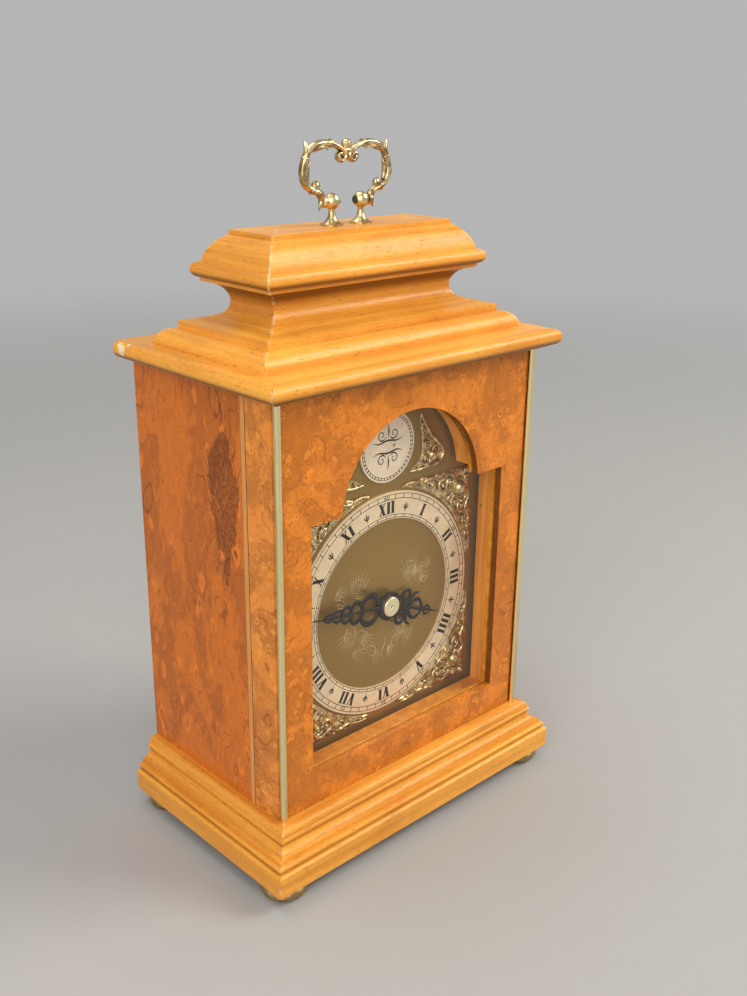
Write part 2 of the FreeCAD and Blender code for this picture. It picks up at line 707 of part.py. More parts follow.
def arbor(place, radius, pivot, ends=None):
    """Arbor between the plates with a thinner pivot through each plate."""
    low, high = ends or (INSIDE_FRONT + END_SHAKE, INSIDE_BACK - END_SHAKE)
    reach = PLATE_THICKNESS - END_SHAKE
    pivots = rod_y(place, (low - reach, high + reach), pivot)
    return [rod_y(place, (low, high), radius), pivots]


def geared_arbor(place, radius, pivot, leaves, before, teeth, after, level):
    """Arbor with a pinion at before's level and a wheel at its own level."""
    low_module, low_y, low_place = before
    high_module, high_place = after
    pinion_y = span(low_y, WHEEL_THICKNESS, PINION_MARGIN)
    parts = arbor(place, radius, pivot)
    parts.append(pinion(place, pinion_y, leaves, low_module, bearing_to(place, low_place)))
    parts.append(wheel(place, span(level, WHEEL_THICKNESS), teeth, high_module,
                       bearing_to(place, high_place)))
    return joined(parts)


def mainspring_barrel():
    """Open drum with the great wheel at its front, and the cover pressed into its back."""
    front = GREAT_Y + GREAT_THICKNESS
    back = front + BARREL_LENGTH
    hole = rod_y(BARREL, (GREAT_Y, back), BARREL_PIVOT + RUNNING)
    disc = toothed(BARREL, (GREAT_Y, front), GREAT_TEETH, GREAT_MODULE,
                   bearing_to(BARREL, INTERMEDIATE), WHEEL_FORM)
    wall = ring_y(BARREL, (front, back), BARREL_RADIUS, BARREL_RADIUS - BARREL_WALL)
    cover = rod_y(BARREL, (back - BARREL_WALL, back), BARREL_RADIUS - BARREL_WALL)
    return Part.makeCompound([joined([disc, wall]).cut(hole), cover.cut(hole)])


def mainspring():
    """Coiled steel strip between the barrel's core and its wall."""
    low = GREAT_Y + GREAT_THICKNESS + END_SHAKE
    high = GREAT_Y + GREAT_THICKNESS + BARREL_LENGTH - BARREL_WALL - END_SHAKE
    inner = BARREL_CORE + 2 * RUNNING
    outer = BARREL_RADIUS - BARREL_WALL - SPRING_STRIP - RUNNING
    return spiral_y(BARREL, (low, high), inner, outer, SPRING_TURNS, SPRING_STRIP)


def ratchet(y):
    """Saw-toothed wheel with steep faces, the first one on bearing 0."""
    points = []
    for tooth in range(RATCHET_TEETH):
        bearing = tooth * 360.0 / RATCHET_TEETH
        points.append(polar(RATCHET_RADIUS, bearing, BARREL))
        points.append(polar(RATCHET_RADIUS - RATCHET_DEPTH, bearing + RATCHET_LEAN, BARREL))
    return polygon_y(points, y)


def barrel_arbor():
    """Winding arbor: core inside the barrel, pivots, ratchet wheel and the key's square."""
    front = GREAT_Y + GREAT_THICKNESS
    core = (front + END_SHAKE, front + BARREL_LENGTH - BARREL_WALL - END_SHAKE)
    ratchet_y = span(PLATE_BACK + RATCHET_GAP, RATCHET_THICKNESS)
    square_y = (ratchet_y[1], PLATE_BACK + KEY_START + KEY_LENGTH / 2)
    half = KEY_SQUARE / 2
    parts = [rod_y(BARREL, (PLATE_FRONT + END_SHAKE, ratchet_y[1]), BARREL_PIVOT),
             rod_y(BARREL, core, BARREL_CORE), ratchet(ratchet_y),
             box((BARREL[0] - half, BARREL[0] + half), square_y, (BARREL[1] - half, BARREL[1] + half))]
    return joined(parts)


def winding_key():
    """Wing key that stays on the square of the winding arbor."""
    start = PLATE_BACK + KEY_START
    end = start + KEY_LENGTH
    half = KEY_SQUARE / 2
    wing_y = (start + KEY_LENGTH / 2, end + KEY_SLEEVE)
    wings = [rod_y((BARREL[0] + side * (KEY_WING - KEY_SLEEVE), BARREL[1]), wing_y, KEY_SLEEVE)
             .common(box((-FAR, FAR), wing_y, (BARREL[1] - KEY_WING_THICKNESS / 2,
                                               BARREL[1] + KEY_WING_THICKNESS / 2)))
             for side in (-1, 1)]
    web = box((BARREL[0] - KEY_WING + KEY_SLEEVE, BARREL[0] + KEY_WING - KEY_SLEEVE), wing_y,
              (BARREL[1] - KEY_WING_THICKNESS / 2, BARREL[1] + KEY_WING_THICKNESS / 2))
    body = joined([rod_y(BARREL, (start, end), KEY_SLEEVE), web] + wings)
    square = box((BARREL[0] - half, BARREL[0] + half), (start, PLATE_BACK + KEY_START + KEY_LENGTH / 2),
                 (BARREL[1] - half, BARREL[1] + half))
    return body.cut(square)


def click_level():
    """The (low, high) pair of the ratchet's depth."""
    return span(PLATE_BACK + RATCHET_GAP, RATCHET_THICKNESS)


def click():
    """Pawl on its stud, with a nose in the ratchet's gap beside a steep face."""
    root = RATCHET_RADIUS - RATCHET_DEPTH
    near = [polar(root + rise, bearing, BARREL) for rise, bearing in CLICK_FACE]
    near += [polar(CLICK_ARM + rise, bearing, BARREL) for rise, bearing in CLICK_INNER]
    far = [polar(CLICK_ARM + rise, bearing, BARREL) for rise, bearing in CLICK_OUTER]
    waist = CLICK_BOSS_RADIUS - CLICK_WAIST_IN
    sides = [(CLICK[0] - waist, CLICK[1]), (CLICK[0] + waist, CLICK[1])]
    level = click_level()
    body = joined([polygon_y(near + sides + far, level), rod_y(CLICK, level, CLICK_BOSS_RADIUS)])
    return body.cut(rod_y(CLICK, level, CLICK_PIVOT_RADIUS + RUNNING))


def click_spring():
    """Leaf spring from its stud to the back of the click's nose."""
    root = polar(CLICK_REACH + CLICK_SPRING_ROOT[0], CLICK_SPRING_ROOT[1], BARREL)
    tip = polar(CLICK_ARM + CLICK_SPRING_TIP[0], CLICK_SPRING_TIP[1], BARREL)
    leaf = [(root[0] - SPRING_STRIP, root[1]), root, (tip[0] + SPRING_STRIP, tip[1]), tip]
    stud = rod_y(root, (PLATE_BACK, click_level()[1]), CLICK_PIVOT_RADIUS)
    return joined([stud, polygon_y(leaf, click_level())])


def intermediate_wheel():
    """Second arbor: pinion in the great wheel, wheel in the centre pinion."""
    parts = arbor(INTERMEDIATE, INTERMEDIATE_ARBOR, INTERMEDIATE_PIVOT)
    parts.append(pinion(INTERMEDIATE, span(GREAT_Y, GREAT_THICKNESS, PINION_MARGIN),
                        INTERMEDIATE_LEAVES, GREAT_MODULE, bearing_to(INTERMEDIATE, BARREL)))
    parts.append(wheel(INTERMEDIATE, span(INTERMEDIATE_Y, WHEEL_THICKNESS), INTERMEDIATE_TEETH,
                       INTERMEDIATE_MODULE, bearing_to(INTERMEDIATE, CENTRE)))
    return joined(parts)


def centre_wheel():
    """Centre pinion and wheel on a pipe that turns on the centre arbor."""
    ends = (INSIDE_FRONT + END_SHAKE, INSIDE_BACK - END_SHAKE)
    parts = [rod_y(CENTRE, ends, CENTRE_PIPE),
             pinion(CENTRE, span(INTERMEDIATE_Y, WHEEL_THICKNESS, PINION_MARGIN), CENTRE_LEAVES,
                    INTERMEDIATE_MODULE, bearing_to(CENTRE, INTERMEDIATE)),
             wheel(CENTRE, span(CENTRE_Y, WHEEL_THICKNESS), CENTRE_TEETH, CENTRE_MODULE,
                   bearing_to(CENTRE, THIRD))]
    return joined(parts).cut(rod_y(CENTRE, ends, CENTRE_ARBOR_RADIUS + RUNNING))


def third_wheel():
    """Third arbor."""
    return geared_arbor(THIRD, ARBOR_RADIUS, PIVOT_SIZE, THIRD_LEAVES,
                        (CENTRE_MODULE, CENTRE_Y, CENTRE), THIRD_TEETH, (THIRD_MODULE, FOURTH), THIRD_Y)


def fourth_wheel():
    """Fourth arbor, one turn a minute."""
    return geared_arbor(FOURTH, FOURTH_ARBOR, PIVOT_SIZE, FOURTH_LEAVES,
                        (THIRD_MODULE, THIRD_Y, THIRD), FOURTH_TEETH, (FOURTH_MODULE, ESCAPE), FOURTH_Y)


def escape_wheel():
    """Escape arbor through the back plate, with its pinion and its fifteen-toothed wheel."""
    low = INSIDE_FRONT + END_SHAKE
    high = LEVER_COCK_Y - END_SHAKE
    points = []
    for tooth in range(ESCAPE_TEETH):
        bearing = tooth * 360.0 / ESCAPE_TEETH
        points += [polar(ESCAPE_RADIUS + rise, bearing + turn, ESCAPE) for rise, turn in ESCAPE_TOOTH]
    parts = [rod_y(ESCAPE, (low, high), ESCAPE_ARBOR),
             rod_y(ESCAPE, (PLATE_FRONT + END_SHAKE, LEVER_COCK_Y + COCK_THICKNESS), FINE_PIVOT),
             pinion(ESCAPE, span(FOURTH_Y, WHEEL_THICKNESS, PINION_MARGIN), ESCAPE_LEAVES,
                    FOURTH_MODULE, bearing_to(ESCAPE, FOURTH)),
             polygon_y(points, span(ESCAPE_Y, ESCAPE_THICKNESS))]
    return joined(parts)


def pallet_arm(side):
    """Straight arm from the lever's arbor to one pallet stone."""
    stone = polar(PALLET_RADIUS, side * PALLET_HALF_ANGLE, ESCAPE)
    slope = bearing_to(LEVER, stone)
    length = math.hypot(stone[0] - LEVER[0], stone[1] - LEVER[1]) + PALLET_OVERRUN
    near, far = (polar(LEVER_HALF, slope + turn, LEVER) for turn in (-90, 90))
    ends = [polar(length, slope, far), polar(length, slope, near)]
    return polygon_y([near, far] + ends, span(ESCAPE_Y, ESCAPE_THICKNESS))


def lever():
    """Pallet arms, rod and fork on the lever's arbor."""
    level = span(ESCAPE_Y, ESCAPE_THICKNESS)
    fork_x = BALANCE[0] - FORK_BACK
    prongs = []
    for side in (-1, 1):
        middle = LEVER[1] + side * PRONG_OFFSET
        prongs.append(box((fork_x - FORK_THICKNESS, fork_x + PRONG_LENGTH), level,
                          (middle - PRONG_HALF, middle + PRONG_HALF)))
    bars = [box((LEVER[0], fork_x), level, (LEVER[1] - LEVER_HALF, LEVER[1] + LEVER_HALF)),
            box((fork_x - FORK_THICKNESS, fork_x), level, (LEVER[1] - FORK_HALF, LEVER[1] + FORK_HALF))]
    shaft = [rod_y(LEVER, (PLATE_BACK + END_SHAKE, LEVER_COCK_Y - END_SHAKE), LEVER_ARBOR),
             rod_y(LEVER, (INSIDE_BACK + END_SHAKE, LEVER_COCK_Y + COCK_THICKNESS), FINE_PIVOT),
             rod_y(LEVER, level, LEVER_BOSS)]
    return joined([pallet_arm(-1), pallet_arm(1)] + bars + prongs + shaft)


def balance_wheel():
    """Balance rim, arms, timing screws, staff, roller and impulse pin."""
    level = span(BALANCE_Y, BALANCE_THICKNESS)
    roller_y = (LEVER_COCK_Y - ROLLER_BELOW, LEVER_COCK_Y + ROLLER_ABOVE)
    pin = (BALANCE[0] - IMPULSE_OFFSET, BALANCE[1])
    reach = BALANCE_RADIUS - BALANCE_RIM / 2
    parts = [ring_y(BALANCE, level, BALANCE_RADIUS, BALANCE_RADIUS - BALANCE_RIM),
             rod_y(BALANCE, level, BALANCE_HUB), rod_y(BALANCE, roller_y, ROLLER_RADIUS),
             rod_y(pin, (ESCAPE_Y + ESCAPE_THICKNESS + IMPULSE_GAP, roller_y[1]), IMPULSE_PIN),
             rod_y(BALANCE, (PLATE_BACK + END_SHAKE, BALANCE_COCK_Y - END_SHAKE), BALANCE_STAFF),
             rod_y(BALANCE, (INSIDE_BACK + END_SHAKE, BALANCE_COCK_Y + COCK_THICKNESS), FINE_PIVOT),
             box((BALANCE[0] - reach, BALANCE[0] + reach), level,
                 (BALANCE[1] - BALANCE_ARM_HALF, BALANCE[1] + BALANCE_ARM_HALF))]
    for screw in range(BALANCE_SCREWS):
        spot = polar(BALANCE_RADIUS, (screw + 0.5) * 360.0 / BALANCE_SCREWS, BALANCE)
        sunk = (level[0] + BALANCE_SCREW_SINK, level[1] - BALANCE_SCREW_SINK)
        parts.append(rod_y(spot, sunk, BALANCE_SCREW_RADIUS))
    return joined(parts)


def hairspring():
    """Flat blued spiral above the balance."""
    return spiral_y(BALANCE, span(HAIRSPRING_Y, HAIRSPRING_DEPTH), HAIRSPRING_INNER, HAIRSPRING_OUTER,
                    HAIRSPRING_TURNS, HAIRSPRING_STRIP)


def cock(y, foot, tip, middle_z):
    """Bridge on a foot that stands on the back plate."""
    half = COCK_WIDTH / 2
    foot_box = box(foot, (PLATE_BACK, y), (middle_z - half, middle_z + half))
    top = box((min(foot[0], tip), max(foot[1], tip)), (y, y + COCK_THICKNESS),
              (middle_z - half, middle_z + half))
    return joined([foot_box, top])


def escapement_cocks():
    """The lever's bridge and the balance's cock, each with its pivot holes."""
    lever_foot = [ESCAPE[0] - ESCAPE_RADIUS + out for out in LEVER_COCK_FOOT]
    bridge = cock(LEVER_COCK_Y, lever_foot, LEVER[0] + LEVER_COCK_PAST, LEVER[1])
    level = (LEVER_COCK_Y, LEVER_COCK_Y + COCK_THICKNESS)
    bridge = drilled(bridge, [rod_y(spot, level, FINE_PIVOT + RUNNING) for spot in (ESCAPE, LEVER)])
    balance_foot = [BALANCE[0] + BALANCE_RADIUS + out for out in BALANCE_COCK_FOOT]
    stud = polar(HAIRSPRING_OUTER + HAIRSPRING_STRIP + HAIRSPRING_STUD, 0, BALANCE)
    upper = joined([cock(BALANCE_COCK_Y, balance_foot, BALANCE[0] - BALANCE_COCK_PAST, BALANCE[1]),
                    rod_y(stud, (HAIRSPRING_Y, BALANCE_COCK_Y + COCK_THICKNESS), HAIRSPRING_STUD)])
    level = (BALANCE_COCK_Y, BALANCE_COCK_Y + COCK_THICKNESS)
    return Part.makeCompound([bridge, upper.cut(rod_y(BALANCE, level, FINE_PIVOT + RUNNING))])


def centre_arbor():
    """Arbor from the set knob to the hands, with the cannon pinion and its pipe."""
    cannon_back = PLATE_FRONT - END_SHAKE
    knob_end = PLATE_BACK + SET_KNOB_START + SET_KNOB_LENGTH
    hand_front = MINUTE_HAND_BACK - HAND_THICKNESS
    parts = [rod_y(CENTRE, (cannon_back - CANNON_OVERLAP, knob_end), CENTRE_ARBOR_RADIUS),
             rod_y(CENTRE, (MINUTE_HAND_BACK, cannon_back), CANNON_PIPE),
             rod_y(CENTRE, (hand_front, cannon_back), HAND_SEAT),
             rod_y(CENTRE, (hand_front - NUT_THICKNESS + NUT_COVER, cannon_back), NUT_THREAD),
             pinion(CENTRE, span(MINUTE_Y, WHEEL_THICKNESS, PINION_MARGIN), CANNON_LEAVES,
                    CANNON_MODULE, bearing_to(CENTRE, MINUTE))]
    return joined(parts)


def hour_wheel():
    """Hour wheel with the pipe that carries the hour hand."""
    level = span(HOUR_Y, WHEEL_THICKNESS)
    parts = [wheel(CENTRE, level, HOUR_TEETH, HOUR_MODULE, bearing_to(CENTRE, MINUTE)),
             rod_y(CENTRE, (HOUR_HAND_BACK, level[1]), HOUR_PIPE),
             rod_y(CENTRE, (HOUR_HAND_BACK - HAND_THICKNESS, level[1]), HOUR_SEAT)]
    return joined(parts).cut(rod_y(CENTRE, (-FAR, FAR), CANNON_PIPE + RUNNING))


def minute_wheel():
    """Minute wheel and pinion on the front plate's stud."""
    parts = [wheel(MINUTE, span(MINUTE_Y, WHEEL_THICKNESS), MINUTE_TEETH, CANNON_MODULE,
                   bearing_to(MINUTE, CENTRE)),
             pinion(MINUTE, (HOUR_Y - MINUTE_PINION_PAST, MINUTE_Y), MINUTE_LEAVES, HOUR_MODULE,
                    bearing_to(MINUTE, CENTRE))]
    return joined(parts).cut(rod_y(MINUTE, (-FAR, FAR), MINUTE_STUD + RUNNING))


def set_knob():
    """Ribbed knob that sets the hands from the back."""
    start = PLATE_BACK + SET_KNOB_START
    length = (start, start + SET_KNOB_LENGTH)
    knob = rod_y(CENTRE, length, SET_KNOB_RADIUS)
    for rib in range(SET_KNOB_RIBS):
        spot = polar(SET_KNOB_RADIUS + RIB_OUT, rib * 360.0 / SET_KNOB_RIBS, CENTRE)
        knob = knob.cut(rod_y(spot, (start + RIB_START, length[1]), RIB_RADIUS))
    return knob.cut(rod_y(CENTRE, length, CENTRE_ARBOR_RADIUS))


# ------------------------------------------------------------------ movement frame
def pillar_places():
    """The four pillars in the x, z plane."""
    heights = (DIAL_Z - PILLAR_LOW, DIAL_Z + PILLAR_HIGH)
    return [(side * PILLAR_X, height) for side in (-1, 1) for height in heights]


def dial_foot_places():
    """The four dial feet in the x, z plane."""
    heights = (DIAL_Z - DIAL_FOOT_LOW, DIAL_Z + DIAL_FOOT_HIGH)
    return [(side * DIAL_FOOT_X, height) for side in (-1, 1) for height in heights]


def movement_plate(y):
    """Round-cornered brass plate."""
    low, high = DIAL_Z - PLATE_BELOW, DIAL_Z + PLATE_ABOVE
    blank = box((-PLATE_HALF_WIDTH, PLATE_HALF_WIDTH), y, (low, high))
    upright = [edge for edge in blank.Edges
               if abs(edge.tangentAt(edge.FirstParameter).y) > 0.5]
    return blank.makeFillet(PLATE_CORNER, upright)


def pivot_holes(y, extra):
    """Clearance holes for the arbors that pass or pivot in a plate."""
    holes = [(INTERMEDIATE, INTERMEDIATE_PIVOT), (THIRD, PIVOT_SIZE), (FOURTH, PIVOT_SIZE),
             (BARREL, BARREL_PIVOT), (CENTRE, CENTRE_ARBOR_RADIUS)] + extra
    return [rod_y(spot, y, radius + RUNNING) for spot, radius in holes]


def front_plate():
    """Front plate with the minute wheel's stud."""
    y = (PLATE_FRONT, INSIDE_FRONT)
    plate = drilled(movement_plate(y), pivot_holes(y, [(ESCAPE, FINE_PIVOT)]))
    plate = drilled(plate, [rod_y(spot, y, PILLAR_STUD_RADIUS) for spot in pillar_places()])
    plate = drilled(plate, [rod_y(spot, y, DIAL_FOOT_PIN) for spot in dial_foot_places()])
    return joined([plate, rod_y(MINUTE, (HOUR_Y - MINUTE_STUD_PAST, PLATE_FRONT), MINUTE_STUD)])


def back_plate():
    """Back plate with the click's stud and the lever's banking pins."""
    y = (INSIDE_BACK, PLATE_BACK)
    extra = [(LEVER, FINE_PIVOT), (BALANCE, FINE_PIVOT), (ESCAPE, ESCAPE_ARBOR + ESCAPE_ARBOR_ROOM)]
    plate = drilled(movement_plate(y), pivot_holes(y, extra))
    plate = drilled(plate, [rod_y(spot, y, PILLAR_STUD_RADIUS) for spot in pillar_places()])
    stud = rod_y(CLICK, (PLATE_BACK, PLATE_BACK + 2 * RATCHET_GAP + RATCHET_THICKNESS), CLICK_PIVOT_RADIUS)
    reach = (PLATE_BACK, ESCAPE_Y + ESCAPE_THICKNESS)
    pins = [rod_y((LEVER[0] + BANKING_X, LEVER[1] + side * BANKING_OFFSET), reach, BANKING_PIN)
            for side in (-1, 1)]
    return joined([plate, stud] + pins)


def pillars():
    """Four pillars with studs that pass through both plates."""
    ends = (PLATE_FRONT - STUD_PROUD, PLATE_BACK + STUD_PROUD)
    inside = (INSIDE_FRONT, INSIDE_BACK)
    return Part.makeCompound([joined([rod_y(spot, inside, PILLAR_RADIUS),
                                      rod_y(spot, ends, PILLAR_STUD_RADIUS)])
                              for spot in pillar_places()])


def hex_nut(spot, y):
    """Six-sided nut on a pillar's stud."""
    radius = NUT_ACROSS / (2 * math.cos(math.radians(30)))
    nut = polygon_y([polar(radius, 60 * corner, spot) for corner in range(6)], y)
    return nut.cut(rod_y(spot, y, PILLAR_STUD_RADIUS))


def seat_bolt(side):
    """Bolt up through the seat board to a lower pillar."""
    top = DIAL_Z - PILLAR_LOW - PILLAR_RADIUS
    x, y = side * PILLAR_X, (INSIDE_FRONT + INSIDE_BACK) / 2
    return joined([rod_z(x, y, (SEAT_UNDER, top), PILLAR_STUD_RADIUS),
                   rod_z(x, y, (SEAT_UNDER - BOLT_HEAD_HEIGHT, SEAT_UNDER), BOLT_HEAD_RADIUS)])


def movement_fasteners():
    """Eight pillar nuts and two seat bolts."""
    nuts = [hex_nut(spot, y) for spot in pillar_places()
            for y in ((PLATE_FRONT - NUT_HEIGHT, PLATE_FRONT), (PLATE_BACK, PLATE_BACK + NUT_HEIGHT))]
    return Part.makeCompound(nuts + [seat_bolt(-1), seat_bolt(1)])


def seat_board():
    """Board across the case that carries the movement."""
    y = (PLATE_FRONT - SEAT_FRONT_MARGIN, PLATE_BACK + SEAT_BACK_MARGIN)
    board = box((-INNER_HALF, INNER_HALF), y, (SEAT_UNDER, SEAT_TOP))
    middle = (INSIDE_FRONT + INSIDE_BACK) / 2
    return drilled(board, [rod_z(side * PILLAR_X, middle, (0, SEAT_TOP), PILLAR_STUD_RADIUS)
                           for side in (-1, 1)])


# ------------------------------------------------------------------ dial and hands
def dial_plate():
    """Break-arch plate with four riveted feet."""
    plate = arched(FACE * DIAL_MARGIN, (DIAL_FRONT, DIAL_BACK), DIAL_HALF)
    feet = []
    for spot in dial_foot_places():
        feet.append(rod_y(spot, (DIAL_BACK, PLATE_FRONT), DIAL_FOOT_RADIUS))
        feet.append(rod_y(spot, (DIAL_BACK, INSIDE_FRONT), DIAL_FOOT_PIN))
    hole = rod_y(CENTRE, (DIAL_FRONT, DIAL_BACK), DIAL_HOLE_RADIUS)
    return joined([plate] + feet).cut(hole)


def chapter_ring():
    """Flat ring that carries the numerals."""
    y = (DIAL_FRONT - CHAPTER_THICKNESS, DIAL_FRONT)
    return ring_y(CENTRE, y, FACE * CHAPTER_OUTER, FACE * CHAPTER_INNER)


def arch_disc():
    """Plain disc in the arch, with its small fixing hole."""
    y = (DIAL_FRONT - ARCH_DISC_THICKNESS, DIAL_FRONT)
    disc = rod_y((0.0, ARCH_DISC_Z), y, FACE * ARCH_DISC_RADIUS)
    return disc.cut(rod_y((FACE * ARCH_DISC_HOLE_X, ARCH_DISC_Z), y, ARCH_DISC_HOLE))


def cast_leaf(start, steps, place, spot, radius):
    """Flat cast leaf on the dial with a round boss, both given by their (across, up) on the dial."""
    y = (DIAL_FRONT - SPANDREL_THICKNESS, DIAL_FRONT)
    face = face_of(draw(start, steps, lambda u, v: Vector(place(u, v)[0], y[0], place(u, v)[1])))
    leaf = face.extrude(Vector(0, y[1] - y[0], 0))
    x, z = place(*spot)
    boss = ball(x, DIAL_FRONT, z, FACE * radius)
    return joined([leaf, boss.cut(box((-FAR, FAR), (DIAL_FRONT, FAR), (-FAR, FAR)))])


def corner_spandrel(right, up):
    """Cast corner ornament between the chapter ring and a corner of the opening."""
    inner, tip = CHAPTER_OUTER + SPANDREL_RING_GAP, SPANDREL_TIP
    reach = CHAPTER_OUTER + SPANDREL_RING_REACH
    high = math.sqrt(inner ** 2 - tip ** 2)
    mid = inner * math.sqrt(0.5)
    top = [(a * reach, reach + b, c * reach, reach + d) for a, b, c, d in SPANDREL_LOBES]
    stops = [(tip, high)] + [(c, d) for _, _, c, d in top]
    side = [(b, a, v, u) for (a, b, _, _), (u, v) in zip(reversed(top), reversed(stops[:-1]))]
    return cast_leaf((tip, high), top + side + [(mid, mid, tip, high)],
                     lambda u, v: (right * FACE * u, DIAL_Z + up * FACE * v),
                     [share * reach for share in SPANDREL_BOSS], SPANDREL_BOSS_RADIUS)


def arch_spandrel(right):
    """Small cast leaf beside the arch disc."""
    return cast_leaf(ARCH_LEAF_START, ARCH_LEAF_LOBES,
                     lambda u, v: (right * FACE * u, ARCH_Z + FACE * v), ARCH_BOSS, ARCH_BOSS_RADIUS)


def hand(length, hub, bore, back, angle, eyes):
    """Pierced hand: hub, a chain of (distance, radius) eyes and a tapered blade, turned clockwise
    from twelve by the angle."""
    y = (back - HAND_THICKNESS, back)
    tip, neck = FACE * length, FACE * HAND_NECK_SHARE * length
    side = [(HAND_ROOT_HALF, 0.0), (HAND_NECK_HALF, neck), (HAND_TIP_HALF, tip)]
    blade = polygon_y(side + [(-x, z) for x, z in reversed(side)], y)
    shape = joined([blade, rod_y((0.0, 0.0), y, hub)])
    for distance, radius in eyes:
        for way in (-1, 1):
            spot = (way * FACE * radius * EYE_SPREAD, FACE * distance)
            shape = shape.fuse(ring_y(spot, y, FACE * radius, FACE * radius * EYE_HOLE_SHARE))
    shape = shape.cut(rod_y((0.0, 0.0), y, bore)).removeSplitter()
    shape.rotate(Vector(0, 0, 0), Vector(0, 1, 0), angle)
    shape.translate(Vector(CENTRE[0], 0, CENTRE[1]))
    return shape


def hand_nut():
    """Domed round nut on the end of the centre arbor."""
    back = MINUTE_HAND_BACK - HAND_THICKNESS
    y = (back - NUT_THICKNESS, back)
    nut = rod_y(CENTRE, y, NUT_RADIUS)
    front = [edge for edge in nut.Edges if edge.BoundBox.YMax < y[0] + 0.01]
    return nut.makeFillet(NUT_ROUNDING, front).cut(rod_y(CENTRE, y, NUT_THREAD))


# ------------------------------------------------------------------ case
def foot_places():
    """The four bun feet in the x, y plane."""
    out = FOOT_DIAMETER / 2 + FOOT_INSET
    half = CASE_HALF + PLINTH_OUT - out
    front, back = CASE_FRONT - PLINTH_OUT + out, CASE_BACK - out
    return [(side * half, y) for side in (-1, 1) for y in (front, back)]


def bun_feet():
    """Turned brass bun feet with a stud up into the plinth."""
    wide = FOOT_DIAMETER / 2
    feet = []
    for x, y in foot_places():
        size = (wide, FOOT_HEIGHT, wide, FOOT_HEIGHT)
        bulge = [tuple(share * full for share, full in zip(step, size)) for step in BUN_PROFILE]
        bun = turned_z((BUN_SOLE_SHARE * wide, 0.0), bulge, x, y)
        stud = rod_z(x, y, (FOOT_HEIGHT / 2, FOOT_HEIGHT + FOOT_STUD_LENGTH), FOOT_STUD_RADIUS)
        feet.append(joined([bun, stud]))
    return Part.makeCompound(feet)


def base_block(start, steps):
    """Moulded block of the base: front and sides follow the profile, the back is flush."""
    return moulded_block(start, steps, CASE_HALF, CASE_FRONT, CASE_BACK, (1.0, 1.0, 0.0))


def plinth():
    """Plinth frame with its chamfered top edge, and holes for the feet's studs."""
    rise = Z_LOWER - PLINTH_CHAMFER
    block = base_block((PLINTH_OUT, Z_PLINTH), [(PLINTH_OUT, rise), (PLINTH_OUT - PLINTH_CHAMFER, Z_LOWER)])
    inner = CASE_HALF + PLINTH_OUT - PLINTH_RAIL
    well = box((-inner, inner), (CASE_FRONT - PLINTH_OUT + PLINTH_RAIL, CASE_BACK - PLINTH_RAIL),
               (0, Z_CASE))
    holes = [rod_z(x, y, (0, Z_PLINTH + FOOT_STUD_LENGTH), FOOT_STUD_RADIUS) for x, y in foot_places()]
    return drilled(block, [well] + holes)


def moulding_core():
    """The space inside the applied base mouldings."""
    inner = CASE_HALF - MOULDING_BACKING
    return box((-inner, inner), (CASE_FRONT + MOULDING_BACKING, CASE_BACK), (Z_LOWER, Z_CASE))


def lower_base_moulding():
    """Lip, bead and cove round the front and sides."""
    lip = LOWER_BEAD_OUT - LOWER_BEAD_RADIUS
    z1 = Z_LOWER + LOWER_LIP
    z2 = z1 + 2 * LOWER_BEAD_RADIUS
    cove = (COVE_TOP_OUT + COVE_BOW * (COVE_FOOT_OUT - COVE_TOP_OUT),
            Z_COVE + (1 - COVE_BOW) / 2 * COVE_HEIGHT)
    steps = [(lip, z1), (LOWER_BEAD_OUT, z1 + LOWER_BEAD_RADIUS, lip, z2), (COVE_FOOT_OUT, z2),
             (COVE_FOOT_OUT, Z_COVE), cove + (COVE_TOP_OUT, Z_UPPER)]
    return base_block((lip, Z_LOWER), steps).cut(moulding_core())


def upper_base_moulding():
    """Lip, bead and ovolo under the case sides, with the socket of the door's lower pin."""
    lip = UPPER_BEAD_OUT - UPPER_BEAD_RADIUS
    z1 = Z_UPPER + UPPER_LIP
    z2 = z1 + 2 * UPPER_BEAD_RADIUS
    z3 = z2 + BASE_FILLET
    round_over = (OVOLO_TOP_OUT + OVOLO_BOW * (OVOLO_OUT - OVOLO_TOP_OUT), z3 + OVOLO_BOW * OVOLO_HEIGHT)
    steps = [(lip, z1), (UPPER_BEAD_OUT, z1 + UPPER_BEAD_RADIUS, lip, z2), (OVOLO_OUT, z2),
             (OVOLO_OUT, z3), round_over + (OVOLO_TOP_OUT, Z_CASE)]
    ring = base_block((lip, Z_UPPER), steps).cut(moulding_core())
    return ring.cut(pin_socket((Z_CASE - HINGE_PIN_REACH - RUNNING, Z_CASE)))


def pin_socket(z):
    """Round socket on the front door's hinge axis."""
    return rod_z(HINGE_PIN[0], HINGE_PIN[1], z, HINGE_PIN_RADIUS + RUNNING)


def bottom_board():
    """Board inside the base mouldings that the case stands on."""
    return moulding_core()


def front_stiles():
    """Two L-shaped strips at the front corners, cut back behind the rods and for the door."""
    stiles = []
    for side in (-1, 1):
        outer, door_edge, inner = CASE_HALF, CASE_HALF - DOOR_EDGE, INNER_HALF
        corners = [(outer, STILE_FRONT), (door_edge, STILE_FRONT), (door_edge, SURROUND_FRONT),
                   (inner, SURROUND_FRONT), (inner, STILE_BACK), (outer, STILE_BACK)]
        points = [Vector(side * x, y, Z_CASE) for x, y in corners + corners[:1]]
        stiles.append(Part.Face(Part.makePolygon(points)).extrude(Vector(0, 0, CASE_HEIGHT)))
    return Part.makeCompound(stiles)


